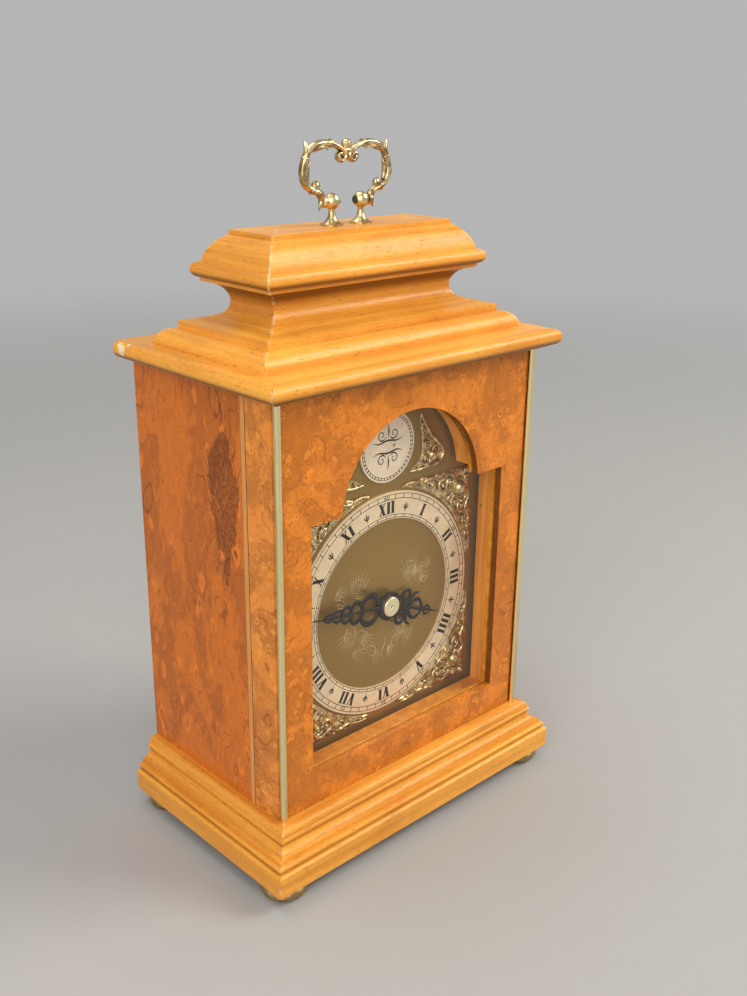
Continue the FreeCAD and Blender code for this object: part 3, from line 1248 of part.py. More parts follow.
def side_stringing():
    """Three inlaid lines on each side: dark, light, dark."""
    lines = []
    for side in (-1, 1):
        x = sorted((side * CASE_HALF, side * (CASE_HALF - STRING_DEPTH)))
        marks = [0.0, STRING_LINE, STRING_WIDTH - STRING_LINE, STRING_WIDTH]
        for low, high in zip(marks, marks[1:]):
            lines.append(box(x, (STILE_BACK + low, STILE_BACK + high), (Z_CASE, Z_CORNICE)))
    return Part.makeCompound(lines)


def latch_pocket():
    """Mortise in the right-hand side for the rear door's tongue."""
    y0 = REAR_DOOR_FRONT - LATCH_GAP - LATCH_TONGUE_THICKNESS
    return box((INNER_HALF, INNER_HALF + LATCH_POCKET_DEPTH),
               (y0 - 2 * LATCH_GAP, REAR_DOOR_FRONT + LATCH_GAP),
               (LATCH_Z - LATCH_POCKET_BELOW, LATCH_Z + LATCH_POCKET_ABOVE))


def side_panels():
    """Two veneered side boards, rebated for the stringing."""
    panels = []
    for side in (-1, 1):
        x = sorted((side * CASE_HALF, side * INNER_HALF))
        groove = sorted((side * CASE_HALF, side * (CASE_HALF - STRING_DEPTH)))
        board = box(x, (STILE_BACK, CASE_BACK), (Z_CASE, Z_CORNICE))
        panels.append(board.cut(box(groove, (STILE_BACK, STILE_BACK + STRING_WIDTH), (Z_CASE, Z_CORNICE))))
    panels[1] = panels[1].cut(latch_pocket())
    return Part.makeCompound(panels)


def corner_rods():
    """Brass rods in the front corners, from the base to the cornice."""
    x = CASE_HALF - ROD_INSET - ROD_RADIUS
    y = CASE_FRONT + ROD_INSET + ROD_RADIUS
    return Part.makeCompound([rod_z(side * x, y, (Z_CASE, Z_CORNICE), ROD_RADIUS) for side in (-1, 1)])


def top_board():
    """Board inside the cornice that closes the case."""
    half = CASE_HALF - TOP_BOARD_MARGIN
    return box((-half, half), (CASE_FRONT + TOP_BOARD_MARGIN, CASE_BACK - TOP_BOARD_MARGIN),
               (Z_CORNICE, Z_CADDY))


def cornice_moulding():
    """Cove, fillet and bullnose all round the top board, with the door's upper pin socket."""
    z1 = Z_CORNICE + CORNICE_COVE_HEIGHT
    z2 = z1 + CORNICE_FILLET
    cove = (CORNICE_COVE_IN + CORNICE_BOW * (CORNICE_COVE_OUT - CORNICE_COVE_IN),
            Z_CORNICE + (1 - CORNICE_BOW) * CORNICE_COVE_HEIGHT)
    nose = (Z_CADDY - z2) / 2
    steps = [cove + (CORNICE_COVE_OUT, z1), (CORNICE_COVE_OUT, z2),
             (CORNICE_OUT, z2 + nose, CORNICE_OUT - nose, Z_CADDY)]
    scales = (1.0, CORNICE_FRONT_OUT / CORNICE_OUT, 0.0)
    block = moulded_block((CORNICE_COVE_IN, Z_CORNICE), steps, CASE_HALF, CASE_FRONT,
                          CASE_BACK + CORNICE_BACK_OUT, scales)
    socket = pin_socket((Z_CORNICE, Z_CORNICE + HINGE_PIN_REACH + RUNNING))
    return drilled(block, [top_board(), socket])


def caddy_block(start, steps):
    """Moulded block of the caddy top; the profile's projection is counted inwards as negative."""
    half = CADDY_FOOT_WIDTH / 2
    return moulded_block(start, steps, half, CADDY_Y - CADDY_FOOT_DEPTH / 2, CADDY_Y + CADDY_FOOT_DEPTH / 2)


def stud_holes():
    """Holes down through the cap for the handle posts' studs."""
    return [rod_z(side * POST_SPACING / 2, HANDLE_Y, (Z_TOP - POST_STUD_LENGTH, Z_TOP), POST_STUD_RADIUS)
            for side in (-1, 1)]


def caddy_base():
    """Ovolo with a square-edged board on it."""
    z1 = Z_CADDY + CADDY_OVOLO_HEIGHT
    bulge = (-(1 - CADDY_OVOLO_BOW) * CADDY_OVOLO_IN, Z_CADDY + CADDY_OVOLO_BOW * CADDY_OVOLO_HEIGHT)
    steps = [bulge + (-CADDY_OVOLO_IN, z1),
             (-CADDY_BOARD_IN, z1), (-CADDY_BOARD_IN, Z_NECK)]
    return caddy_block((0.0, Z_CADDY), steps)


def caddy_neck():
    """Hollow neck that sweeps in from the board and out again to the torus."""
    rise = NECK_HEIGHT - NECK_FILLET
    foot = [(-CADDY_BOARD_IN - inward, Z_NECK + share * rise) for inward, share in NECK_FOOT]
    hollow = [(out - NECK_IN, Z_NECK + share * rise) for out, share in NECK_HOLLOW]
    steps = [foot[1] + foot[2], hollow[0] + hollow[1], hollow[2] + hollow[3],
             (-NECK_TOP_IN, Z_TORUS - NECK_FILLET), (-NECK_TOP_IN, Z_TORUS)]
    return caddy_block(foot[0], steps)


def caddy_torus():
    """Half-round band."""
    steps = [(-NECK_TOP_IN + TORUS_OUT, Z_TORUS + TORUS_HEIGHT / 2, -NECK_TOP_IN, Z_DOME)]
    return caddy_block((-NECK_TOP_IN, Z_TORUS), steps)


def caddy_dome():
    """Swelling cushion above the torus."""
    bulge = (-DOME_FOOT_IN - DOME_BOW_IN, Z_DOME + DOME_BOW_SHARE * DOME_HEIGHT)
    steps = [bulge + (-DOME_TOP_IN, Z_CAP)]
    return drilled(caddy_block((-DOME_FOOT_IN, Z_DOME), steps), stud_holes())


def caddy_cap():
    """Thin flat cap board."""
    return drilled(caddy_block((-CAP_IN, Z_CAP), [(-CAP_IN, Z_TOP)]), stud_holes())


# ------------------------------------------------------------------ handle
def head_pocket(side):
    """The space a pivot screw's head takes in the inner face of a ball, as (low, high) in x."""
    middle = side * POST_SPACING / 2
    inner = middle - side * BALL_RADIUS
    return tuple(sorted((inner, inner + side * (PIVOT_HEAD_HEIGHT + 2 * PIVOT_CLEARANCE))))


def handle_posts():
    """Trumpet-shaped posts with a drilled ball and a stud."""
    posts = []
    for side in (-1, 1):
        x = side * POST_SPACING / 2
        foot = Z_TOP + POST_FLANGE_HEIGHT
        waist = Z_TOP + POST_NECK_HEIGHT
        hollow = (POST_HOLLOW[0] * POST_FLANGE_RADIUS, foot + POST_HOLLOW[1] * (waist - foot))
        profile = [(POST_FLANGE_RADIUS, foot), (POST_LIP_SHARE * POST_FLANGE_RADIUS, foot),
                   hollow + (POST_NECK_RADIUS, waist), (POST_NECK_RADIUS, Z_BALL)]
        post = turned_z((POST_FLANGE_RADIUS, Z_TOP), profile, x, HANDLE_Y)
        stud = rod_z(x, HANDLE_Y, (Z_TOP - POST_STUD_LENGTH, Z_TOP), POST_STUD_RADIUS)
        knob = ball(x, HANDLE_Y, Z_BALL, BALL_RADIUS)
        bore = rod_x((x - BALL_RADIUS, x + BALL_RADIUS), HANDLE_Y, Z_BALL, PIVOT_RADIUS + PIVOT_CLEARANCE)
        pocket = rod_x(head_pocket(side), HANDLE_Y, Z_BALL, PIVOT_HEAD_RADIUS + PIVOT_CLEARANCE)
        posts.append(drilled(joined([post, stud, knob]), [bore, pocket]))
    return Part.makeCompound(posts)


def eye_span(side):
    """Where the bail's eye lies beside its ball, as (low, high) in x."""
    near = side * (POST_SPACING / 2 + BALL_RADIUS + BALL_SIDE_CLEARANCE)
    return tuple(sorted((near, near + side * EYE_THICKNESS)))


def handle_pivot_screws():
    """Screws through the balls into the bail's eyes."""
    screws = []
    for side in (-1, 1):
        inner = side * (POST_SPACING / 2 - BALL_RADIUS)
        outer = side * (POST_SPACING / 2 + BALL_RADIUS + BALL_SIDE_CLEARANCE + EYE_THICKNESS)
        head = tuple(sorted((inner, inner + side * PIVOT_HEAD_HEIGHT)))
        shank = tuple(sorted((inner, outer)))
        screws.append(joined([rod_x(head, HANDLE_Y, Z_BALL, PIVOT_HEAD_RADIUS),
                              rod_x(shank, HANDLE_Y, Z_BALL, PIVOT_RADIUS)]))
    return Part.makeCompound(screws)


def bent_rod(start, middle, end, radius):
    """Round bar bent along an arc in the handle's upright plane."""
    points = [Vector(x, HANDLE_Y, Z_BALL + rise) for x, rise in (start, middle, end)]
    arc = Part.Arc(*points)
    path = Part.Wire(arc.toShape())
    section = Part.Wire(Part.Circle(points[0], arc.toShape().tangentAt(arc.FirstParameter), radius).toShape())
    return Part.Wire(path).makePipeShell([section], True, False)


def bail_line():
    """Centre line of one half of the bail, from its eye round to the volute, as (out, rise)."""
    wide, high = BAIL_HALF_WIDTH - BAIL_ROD, BAIL_RISE - BAIL_KNOP_RADIUS
    eye = POST_SPACING / 2 + BALL_RADIUS + BALL_SIDE_CLEARANCE + EYE_THICKNESS / 2
    foot = [(eye + out, rise) for out, rise in BAIL_FOOT]
    arm = [(wide - inward, rise) for inward, rise in BAIL_ARM]
    return foot + arm + [(wide - inward, high + rise) for inward, rise in BAIL_TOP]


def cone_to(start, end, wide, narrow):
    """Tapered spike between two (x, rise) places in the handle's upright plane."""
    way = Vector(end[0] - start[0], 0, end[1] - start[1])
    return Part.makeCone(wide, narrow, way.Length, Vector(start[0], HANDLE_Y, Z_BALL + start[1]), way)


def bail_side(side):
    """One half of the bail, from its eye round to the middle of the top."""
    nodes = [(side * out, rise) for out, rise in bail_line()]
    shapes = [bent_rod(*nodes[first:first + 3], BAIL_ROD) for first in range(0, len(nodes) - 2, 2)]
    shapes += [ball(x, HANDLE_Y, Z_BALL + rise, BAIL_BEAD) for x, rise in nodes[::2]]
    crook, foot, end = nodes[len(BAIL_FOOT) + len(BAIL_ARM) - 1], nodes[0], nodes[-1]
    tip = (crook[0] + side * BAIL_HORN_OUT, crook[1] + BAIL_HORN_RISE)
    shapes.append(cone_to(crook, tip, BAIL_ROD, BAIL_SPIKE))
    leaf = (foot[0] + side * BAIL_LEAF_OUT, -BAIL_LEAF_DROP)
    shapes.append(cone_to(foot, leaf, BAIL_ROD, BAIL_SPIKE))
    bulb = (nodes[1][0], HANDLE_Y, Z_BALL + nodes[1][1] + BAIL_BULB_RISE)
    shapes.append(ball(*bulb, BAIL_BULB_RADIUS))
    shapes.append(rod_x(eye_span(side), HANDLE_Y, Z_BALL, EYE_RADIUS))
    half = BAIL_VOLUTE_LENGTH / 2
    shapes.append(rod_y((end[0], Z_BALL + end[1] - BAIL_VOLUTE_DROP), (HANDLE_Y - half, HANDLE_Y + half),
                        BAIL_VOLUTE_RADIUS))
    return shapes


def handle_bail():
    """Cast bail with horns, volutes, bulbs, leaf tips and a round knop on top."""
    top = Z_BALL + BAIL_RISE - BAIL_KNOP_RADIUS
    knop = [ball(0.0, HANDLE_Y, top, BAIL_KNOP_RADIUS),
            rod_x((-BAIL_BAR_HALF, BAIL_BAR_HALF), HANDLE_Y, top - BAIL_BAR_DROP, BAIL_ROD)]
    shape = joined(knop + bail_side(1) + bail_side(-1))
    bore = POST_SPACING / 2 + BALL_RADIUS + BALL_SIDE_CLEARANCE + EYE_THICKNESS
    return shape.cut(rod_x((-bore, bore), HANDLE_Y, Z_BALL, PIVOT_RADIUS))


# ------------------------------------------------------------------ front door and surround
def door_frame():
    """Two stiles, a bottom rail and an arched top rail, rebated at the back for the glass."""
    z = (Z_CASE + DOOR_SLIT, Z_CORNICE - DOOR_SLIT)
    slab = box((-DOOR_HALF, DOOR_HALF), (DOOR_FRONT, DOOR_BACK), z)
    rebate = arched(GLASS_REBATE, (DOOR_BACK - GLASS_BEAD - GLASS_THICKNESS, DOOR_BACK))
    pins = [rod_z(HINGE_PIN[0], HINGE_PIN[1], ends, HINGE_PIN_RADIUS) for ends in pin_roots()]
    frame = drilled(slab, [arched(0.0, (DOOR_FRONT, DOOR_BACK)), rebate] + pins)
    y = (DOOR_FRONT, DOOR_BACK)
    sight = SIGHT_HALF
    pieces = [box((-DOOR_HALF, -sight), y, z), box((sight, DOOR_HALF), y, z),
              box((-sight, sight), y, (z[0], SIGHT_LOW)), box((-sight, sight), y, (SIGHT_SHOULDER, z[1]))]
    return Part.makeCompound([frame.common(piece) for piece in pieces])


def pin_roots():
    """The stretches of the two hinge pins that are fast in the door, as (low, high) in z."""
    low, high = Z_CASE + DOOR_SLIT, Z_CORNICE - DOOR_SLIT
    return (low, low + HINGE_PIN_ROOT), (high - HINGE_PIN_ROOT, high)


def door_pivot_pins():
    """Upright pins at the door's right-hand edge, into the base and the cornice."""
    low, high = pin_roots()
    spans = ((Z_CASE - HINGE_PIN_REACH, low[1]), (high[0], Z_CORNICE + HINGE_PIN_REACH))
    return Part.makeCompound([rod_z(HINGE_PIN[0], HINGE_PIN[1], z, HINGE_PIN_RADIUS) for z in spans])


def door_glass():
    """Break-arch pane in the door's rebate."""
    back = DOOR_BACK - GLASS_BEAD
    return arched(GLASS_REBATE, (back - GLASS_THICKNESS, back))


def door_glass_bead():
    """Narrow bead that holds the pane from behind."""
    y = (DOOR_BACK - GLASS_BEAD, DOOR_BACK)
    return arched(GLASS_REBATE, y).cut(arched(GLASS_REBATE - GLASS_BEAD_WIDTH, y))


def dial_surround():
    """Deep wooden surround between the door and the dial."""
    y = (SURROUND_FRONT, SURROUND_BACK)
    slab = box((-INNER_HALF, INNER_HALF), y, (Z_CASE, Z_CORNICE))
    return slab.cut(arched(SURROUND_SET_BACK, y))


# ------------------------------------------------------------------ rear door
def rear_door():
    """Plain rear door with holes for the latch spindle."""
    gap = REAR_DOOR_SIDE_GAP
    slab = box((gap - INNER_HALF, INNER_HALF - gap), (REAR_DOOR_FRONT, CASE_BACK),
               (Z_CASE + gap, Z_CORNICE - gap))
    return slab.cut(rod_y((LATCH_X, LATCH_Z), (REAR_DOOR_FRONT, CASE_BACK), LATCH_SPINDLE + RUNNING))


def hinge_heights():
    """Middle heights of the two rear hinges."""
    return Z_CASE + REAR_HINGE_RISE, Z_CORNICE - REAR_HINGE_RISE


def knuckle(low, high):
    """Hinge knuckle tube on the rear door's axis."""
    return rod_z(REAR_AXIS[0], REAR_AXIS[1], (low, high), REAR_KNUCKLE_RADIUS)


def rear_hinge_case_leaves():
    """Leaves on the case's back edge, with the outer knuckles and the pin."""
    third = REAR_LEAF_HEIGHT / 3
    leaves = []
    for middle in hinge_heights():
        low, high = middle - REAR_LEAF_HEIGHT / 2, middle + REAR_LEAF_HEIGHT / 2
        leaf = box((-INNER_HALF - REAR_LEAF_WIDTH, REAR_AXIS[0] - REAR_LEAF_GAP),
                   (CASE_BACK, CASE_BACK + REAR_LEAF_THICKNESS), (low, high))
        middle_gap = box((REAR_AXIS[0] - REAR_KNUCKLE_RADIUS - RUNNING, FAR), (CASE_BACK, FAR),
                         (low + third, high - third))
        parts = [leaf.cut(middle_gap), knuckle(low, low + third), knuckle(high - third, high),
                 rod_z(REAR_AXIS[0], REAR_AXIS[1], (low, high), REAR_PIN_RADIUS)]
        leaves.append(joined(parts))
    return Part.makeCompound(leaves)


def rear_hinge_door_leaves():
    """Leaves on the rear door, with the middle knuckle bored for the pin."""
    third = REAR_LEAF_HEIGHT / 3
    leaves = []
    for middle in hinge_heights():
        low, high = middle - REAR_LEAF_HEIGHT / 2, middle + REAR_LEAF_HEIGHT / 2
        leaf = box((REAR_AXIS[0] + REAR_LEAF_GAP, REAR_LEAF_WIDTH - INNER_HALF),
                   (CASE_BACK, CASE_BACK + REAR_LEAF_THICKNESS), (low, high))
        for span_z in ((low, low + third + RUNNING), (high - third - RUNNING, high)):
            leaf = leaf.cut(rod_z(REAR_AXIS[0], REAR_AXIS[1], span_z, REAR_KNUCKLE_RADIUS + RUNNING))
        tube = knuckle(low + third + RUNNING, high - third - RUNNING)
        bore = rod_z(REAR_AXIS[0], REAR_AXIS[1], (low, high), REAR_PIN_RADIUS + RUNNING)
        leaves.append(joined([leaf, tube]).cut(bore))
    return Part.makeCompound(leaves)


def rear_latch():
    """Turn latch: low knob with a grip bar, spindle, and a tongue that stands upright when free."""
    spot = (LATCH_X, LATCH_Z)
    face = CASE_BACK + LATCH_GAP
    knob_back = face + LATCH_KNOB_HEIGHT
    tongue_y = (REAR_DOOR_FRONT - LATCH_GAP - LATCH_TONGUE_THICKNESS, REAR_DOOR_FRONT - LATCH_GAP)
    half, reach = LATCH_GRIP_WIDTH / 2, LATCH_KNOB_RADIUS - LATCH_GRIP_SHORT
    parts = [rod_y(spot, (face, knob_back), LATCH_KNOB_RADIUS),
             box((LATCH_X - half, LATCH_X + half), (knob_back, knob_back + LATCH_GRIP_HEIGHT),
                 (LATCH_Z - reach, LATCH_Z + reach)),
             rod_y(spot, (tongue_y[0], face), LATCH_SPINDLE),
             rod_y(spot, tongue_y, 2 * LATCH_SPINDLE),
             box((LATCH_X - LATCH_SPINDLE, LATCH_X + LATCH_SPINDLE), tongue_y,
                 (LATCH_Z, LATCH_Z + LATCH_TONGUE))]
    return joined(parts)


# ------------------------------------------------------------------ every sub-part, by node name
def hour_hand():
    """Hour hand on the hour wheel's pipe."""
    return hand(HOUR_LENGTH, HOUR_HUB_RADIUS, HOUR_SEAT, HOUR_HAND_BACK, HOUR_ANGLE, HOUR_EYES)


def minute_hand():
    """Minute hand on the cannon pinion's pipe."""
    return hand(MINUTE_LENGTH, MINUTE_HUB_RADIUS, HAND_SEAT, MINUTE_HAND_BACK, MINUTE_ANGLE, MINUTE_EYES)


def corner_spandrels():
    """Four corner ornaments."""
    return Part.makeCompound([corner_spandrel(right, up) for right in (-1, 1) for up in (-1, 1)])


def arch_spandrels():
    """Two ornaments beside the arch disc."""
    return Part.makeCompound([arch_spandrel(right) for right in (-1, 1)])


MAKERS = [
    bun_feet, plinth, lower_base_moulding, upper_base_moulding, bottom_board, side_panels,
    front_stiles, side_stringing, corner_rods, top_board, cornice_moulding, caddy_base, caddy_neck,
    caddy_torus, caddy_dome, caddy_cap, handle_posts, handle_bail, handle_pivot_screws, door_frame,
    door_glass, door_glass_bead, door_pivot_pins, dial_surround, dial_plate, chapter_ring, arch_disc,
    corner_spandrels, arch_spandrels, hour_hand, minute_hand, hand_nut, rear_door,
    rear_hinge_case_leaves, rear_hinge_door_leaves, rear_latch, seat_board, movement_fasteners,
    front_plate, back_plate, pillars, mainspring_barrel, mainspring, barrel_arbor, winding_key, click,
    click_spring, intermediate_wheel, centre_wheel, third_wheel, fourth_wheel, escape_wheel, lever,
    balance_wheel, hairspring, escapement_cocks, centre_arbor, minute_wheel, hour_wheel, set_knob,
]

os.makedirs("parts", exist_ok=True)
for maker in MAKERS:
    maker().exportStep("parts/" + maker.__name__ + ".step")
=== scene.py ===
"""Bracket clock: looks, added detail, stage and camera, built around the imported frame."""
import math

import bmesh
import bpy
import numpy as np
from bpy.props import FloatProperty, FloatVectorProperty, IntProperty, PointerProperty
from bpy.types import Operator, Panel, PropertyGroup
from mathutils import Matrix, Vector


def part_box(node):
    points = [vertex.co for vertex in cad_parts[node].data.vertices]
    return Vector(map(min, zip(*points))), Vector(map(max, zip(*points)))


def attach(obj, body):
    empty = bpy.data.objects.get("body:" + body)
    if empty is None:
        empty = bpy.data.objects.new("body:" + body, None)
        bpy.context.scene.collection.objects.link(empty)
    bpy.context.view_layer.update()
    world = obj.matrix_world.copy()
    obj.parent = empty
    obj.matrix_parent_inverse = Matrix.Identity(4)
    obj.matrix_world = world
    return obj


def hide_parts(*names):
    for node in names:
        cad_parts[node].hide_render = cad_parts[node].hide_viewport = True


bl_info = {
    "name": "Bracket clock",
    "version": (1, 0, 0),
    "blender": (4, 5, 0),
    "location": "View3D > Sidebar > Clock",
    "description": "Finishes, ornament, stage and camera of a small bracket clock",
    "category": "Object",
}

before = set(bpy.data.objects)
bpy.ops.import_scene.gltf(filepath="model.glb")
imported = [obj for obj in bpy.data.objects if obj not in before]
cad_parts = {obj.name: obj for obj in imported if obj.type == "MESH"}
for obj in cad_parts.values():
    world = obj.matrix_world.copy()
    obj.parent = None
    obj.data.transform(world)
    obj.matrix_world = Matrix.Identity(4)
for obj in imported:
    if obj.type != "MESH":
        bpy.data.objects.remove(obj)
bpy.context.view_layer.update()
MM = 0.001


def limits(node):
    """Lowest and highest corner of a frame node, in millimetres."""
    return tuple(np.array(corner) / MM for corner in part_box(node))


def middle(node):
    """Middle of a frame node's box, in millimetres."""
    low, high = (np.array(corner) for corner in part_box(node))
    return (low + high) / 2 / MM


def face(node):
    """Centre in the dial's plane, radius, front and back of a round frame node."""
    low, high = limits(node)
    centre = np.array([(low[0] + high[0]) / 2, (low[2] + high[2]) / 2])
    return centre, (high[0] - low[0]) / 2, low[1], high[1]


CENTRE, _, RING_FRONT, DIAL_FRONT = face("chapter_ring")
DISC_CENTRE, DISC_RADIUS, DISC_FRONT, _ = face("arch_disc")
HANDLE_Y = middle("handle_bail")[1]
BALL_Z = middle("handle_pivot_screws")[2]


# ------------------------------------------------------------------ what a user would change
def colour(name, description, value):
    """A colour property."""
    return FloatVectorProperty(name=name, description=description, default=value, size=3,
                               min=0.0, max=1.0, subtype="COLOR")


def length(name, description, value):
    """A length property."""
    return FloatProperty(name=name, description=description, default=value, unit="LENGTH")


def power(name, description, value):
    """A property for a lamp's power."""
    return FloatProperty(name=name, description=description, default=value, unit="POWER")


class ClockTimber(PropertyGroup):
    """Colours of the case."""
    honey: colour("Honey", "Light tone of the mouldings", (0.90, 0.415, 0.060))
    amber: colour("Amber", "Dark tone of the mouldings", (0.62, 0.22, 0.024))
    burr_light: colour("Burr light", "Light tone of the side veneer", (0.74, 0.195, 0.020))
    burr_dark: colour("Burr dark", "Dark tone of the side veneer", (0.12, 0.030, 0.006))
    door_light: colour("Door light", "Light tone of the door veneer", (0.78, 0.245, 0.026))
    door_dark: colour("Door dark", "Dark tone of the door veneer", (0.20, 0.052, 0.008))
    pore_depth: length("Pore depth", "Depth of the open grain", 0.00008)


class ClockDial(PropertyGroup):
    """Sizes and colours of the dial's markings."""
    numeral_inner: length("Numeral foot", "Radius of the numerals' feet", 0.0400)
    numeral_outer: length("Numeral head", "Radius of the numerals' heads", 0.0453)
    numeral_stroke: length("Thick stroke", "Width of a numeral's thick stroke", 0.0015)
    ink_relief: length("Ink relief", "How far the markings stand proud", 0.00003)
    ticks: IntProperty(name="Minutes", description="Divisions of the outer track", default=60)
    ink: colour("Ink", "Colour of the markings", (0.012, 0.010, 0.009))
    silver: colour("Silvering", "Colour of the chapter ring", (0.95, 0.76, 0.50))
    matt: colour("Matting", "Colour of the dial centre", (0.35, 0.214, 0.060))


class ClockBrass(PropertyGroup):
    """Colours of the brasswork."""
    bright: colour("Bright brass", "Colour of the brass on its high points", (0.92, 0.76, 0.42))
    aged: colour("Aged brass", "Colour of the brass in its hollows", (0.34, 0.235, 0.105))
    rod: colour("Rod brass", "Colour of the corner rods", (0.88, 0.76, 0.40))


class ClockStage(PropertyGroup):
    """Camera and light."""
    lens: FloatProperty(name="Lens", description="Focal length on a 36 mm frame", default=40.26,
                        unit="CAMERA")
    key_power: power("Key light", "Power of the main lamp", 16.5)
    fill_power: power("Fill light", "Power of the fill lamp", 16.0)
    floor: colour("Floor", "Colour of the floor", (0.42, 0.42, 0.42))


# ------------------------------------------------------------------ surfaces worked out as arrays
def spline(control, steps):
    """Smooth run through the control rows: a Catmull-Rom cubic on every span of the rows, with
    each column, such as place or width, carried along in the same way."""
    rows = np.asarray(control, float)
    rows = np.vstack([2 * rows[0] - rows[1], rows, 2 * rows[-1] - rows[-2]])
    t = np.linspace(0, 1, steps, endpoint=False)[None, :, None]
    a, b, c, d = (rows[k:len(rows) - 3 + k, None, :] for k in range(4))
    runs = 0.5 * (2 * b + (c - a) * t + (2 * a - 5 * b + 4 * c - d) * t ** 2
                  + (3 * b - a - 3 * c + d) * t ** 3)
    return np.vstack([runs.reshape(-1, rows.shape[1]), rows[-2]])


def grid_faces(rows, columns, wrap):
    """Quads between neighbouring points of a grid; wrap joins its last column to its first."""
    across = columns if wrap else columns - 1
    r, c = np.meshgrid(np.arange(rows - 1), np.arange(across), indexing="ij")
    nxt = (c + 1) % columns
    return np.stack([r * columns + c, r * columns + nxt, (r + 1) * columns + nxt,
                     (r + 1) * columns + c], axis=-1).reshape(-1, 4)


def tube(control, y, sides=12, steps=8, lobes=0, swell=0):
    """Bar in an upright plane: rows of (x, z, half width, half depth) give a line and an ellipse
    carried along it, w cos a across the line and d sin a along y, with lobes round it."""
    rows = spline(control, steps)
    step = np.gradient(rows[:, :2], axis=0)
    step /= np.maximum(np.linalg.norm(step, axis=1, keepdims=True), 1e-9)
    normal = np.stack([-step[:, 1], step[:, 0]], axis=1)
    angle = np.linspace(0, 2 * math.pi, sides, endpoint=False)
    drift = np.arange(len(rows))[:, None] * 0.12
    grow = 1 + swell * np.cos(lobes * angle[None, :] + drift)
    wide = np.maximum(rows[:, 2:3], 1e-4) * np.cos(angle) * grow
    deep = np.maximum(rows[:, 3:4], 1e-4) * np.sin(angle) * grow
    flat = rows[:, None, :2] + wide[..., None] * normal[:, None, :]
    points = np.stack([flat[..., 0], y + deep, flat[..., 1]], axis=-1)
    return closed_ends(points, np.stack([rows[:, 0], np.full(len(rows), y), rows[:, 1]], axis=1))


def closed_ends(points, spine):
    """Rings of points closed with a pole at each end of their spine."""
    rows, sides = points.shape[:2]
    poles = [np.repeat(spine[[k]], sides, axis=0)[None] for k in (0, -1)]
    whole = np.concatenate([poles[0], points, poles[1]])
    return whole.reshape(-1, 3), grid_faces(rows + 2, sides, True)


def lump(centre, radii, sides=20, rings=12):
    """Ellipsoid: longitude and latitude with a radius for each axis."""
    lat = np.linspace(-math.pi / 2, math.pi / 2, rings)[:, None]
    lon = np.linspace(0, 2 * math.pi, sides, endpoint=False)[None, :]
    unit = np.stack([np.cos(lat) * np.cos(lon), np.sin(lat) + 0 * lon, np.cos(lat) * np.sin(lon)],
                    axis=-1)
    points = np.array(centre) + unit * np.array(radii)
    return points.reshape(-1, 3), grid_faces(rings, sides, True)


def turned(profile, centre, axis="y", sides=48, lobes=0, swell=0):
    """Turned form: rows of (radius, distance along the axis) spun about it, fluted by lobes."""
    rows = np.asarray(profile, float)
    angle = np.linspace(0, 2 * math.pi, sides, endpoint=False)
    radius = rows[:, :1] * (1 + swell * np.cos(lobes * angle)[None, :])
    u, v = radius * np.cos(angle), radius * np.sin(angle)
    w = np.repeat(rows[:, 1:], sides, axis=1)
    order = {"x": (w, u, v), "y": (u, w, v), "z": (u, v, w)}[axis]
    points = np.stack(order, axis=-1) + np.array(centre)
    return points.reshape(-1, 3), grid_faces(len(rows), sides, True)


def prisms(corners, low, high):
    """Flat bars: k quads in the dial's plane, given as (k, 4, 2), between two values of y."""
    corners = np.asarray(corners, float)
    count = len(corners)
    layers = [np.insert(corners, 1, y, axis=2) for y in (low, high)]
    points = np.concatenate(layers, axis=1).reshape(-1, 3)
    faces = np.array([[0, 1, 2, 3], [7, 6, 5, 4], [0, 4, 5, 1], [1, 5, 6, 2], [2, 6, 7, 3], [3, 7, 4, 0]])
    return points, (np.arange(count)[:, None, None] * 8 + faces).reshape(-1, 4)


def washer(centre, inner, outer, low, high, sides=180):
    """Flat ring: a rectangle of radius and y spun about the dial's axis."""
    profile = [(inner, low), (outer, low), (outer, high), (inner, high), (inner, low)]
    return turned(profile, (centre[0], 0, centre[1]), "y", sides)


def slab(front, back):
    """Plate with a modelled front: a grid of points, its copy on a flat back, and a rim."""
    rows, columns = front.shape[:2]
    rear = front.copy()
    rear[..., 1] = back
    count = rows * columns
    index = np.arange(count).reshape(rows, columns)
    loop = np.concatenate([index[0, :-1], index[:-1, -1], index[-1, :0:-1], index[:0:-1, 0]])
    rim = np.stack([loop, np.roll(loop, -1), np.roll(loop, -1) + count, loop + count], axis=-1)
    faces = grid_faces(rows, columns, False)
    return (np.concatenate([front.reshape(-1, 3), rear.reshape(-1, 3)]),
            np.concatenate([faces, faces[:, ::-1] + count, rim]))


def spun(shell, turn, about):
    """A shell turned in the dial's plane, clockwise seen from the front, then set about a place."""
    points, faces = shell
    a = math.radians(turn)
    x, z = points[:, 0], points[:, 2]
    placed = np.stack([x * math.cos(a) + z * math.sin(a) + about[0], points[:, 1],
                       z * math.cos(a) - x * math.sin(a) + about[1]], axis=1)
    return placed, faces


def mirrored(shell, axis=0):
    """A shell reflected across a plane through the origin."""
    points, faces = shell
    points = points.copy()
    points[:, axis] *= -1
    return points, faces[:, ::-1]


def paired(shells, axis=0):
    """Shells and their reflections."""
    return shells + [mirrored(shell, axis) for shell in shells]


def set_about(shells, about, turn=0):
    """Shells turned in the dial's plane and set about a place."""
    return [spun(shell, turn, about) for shell in shells]


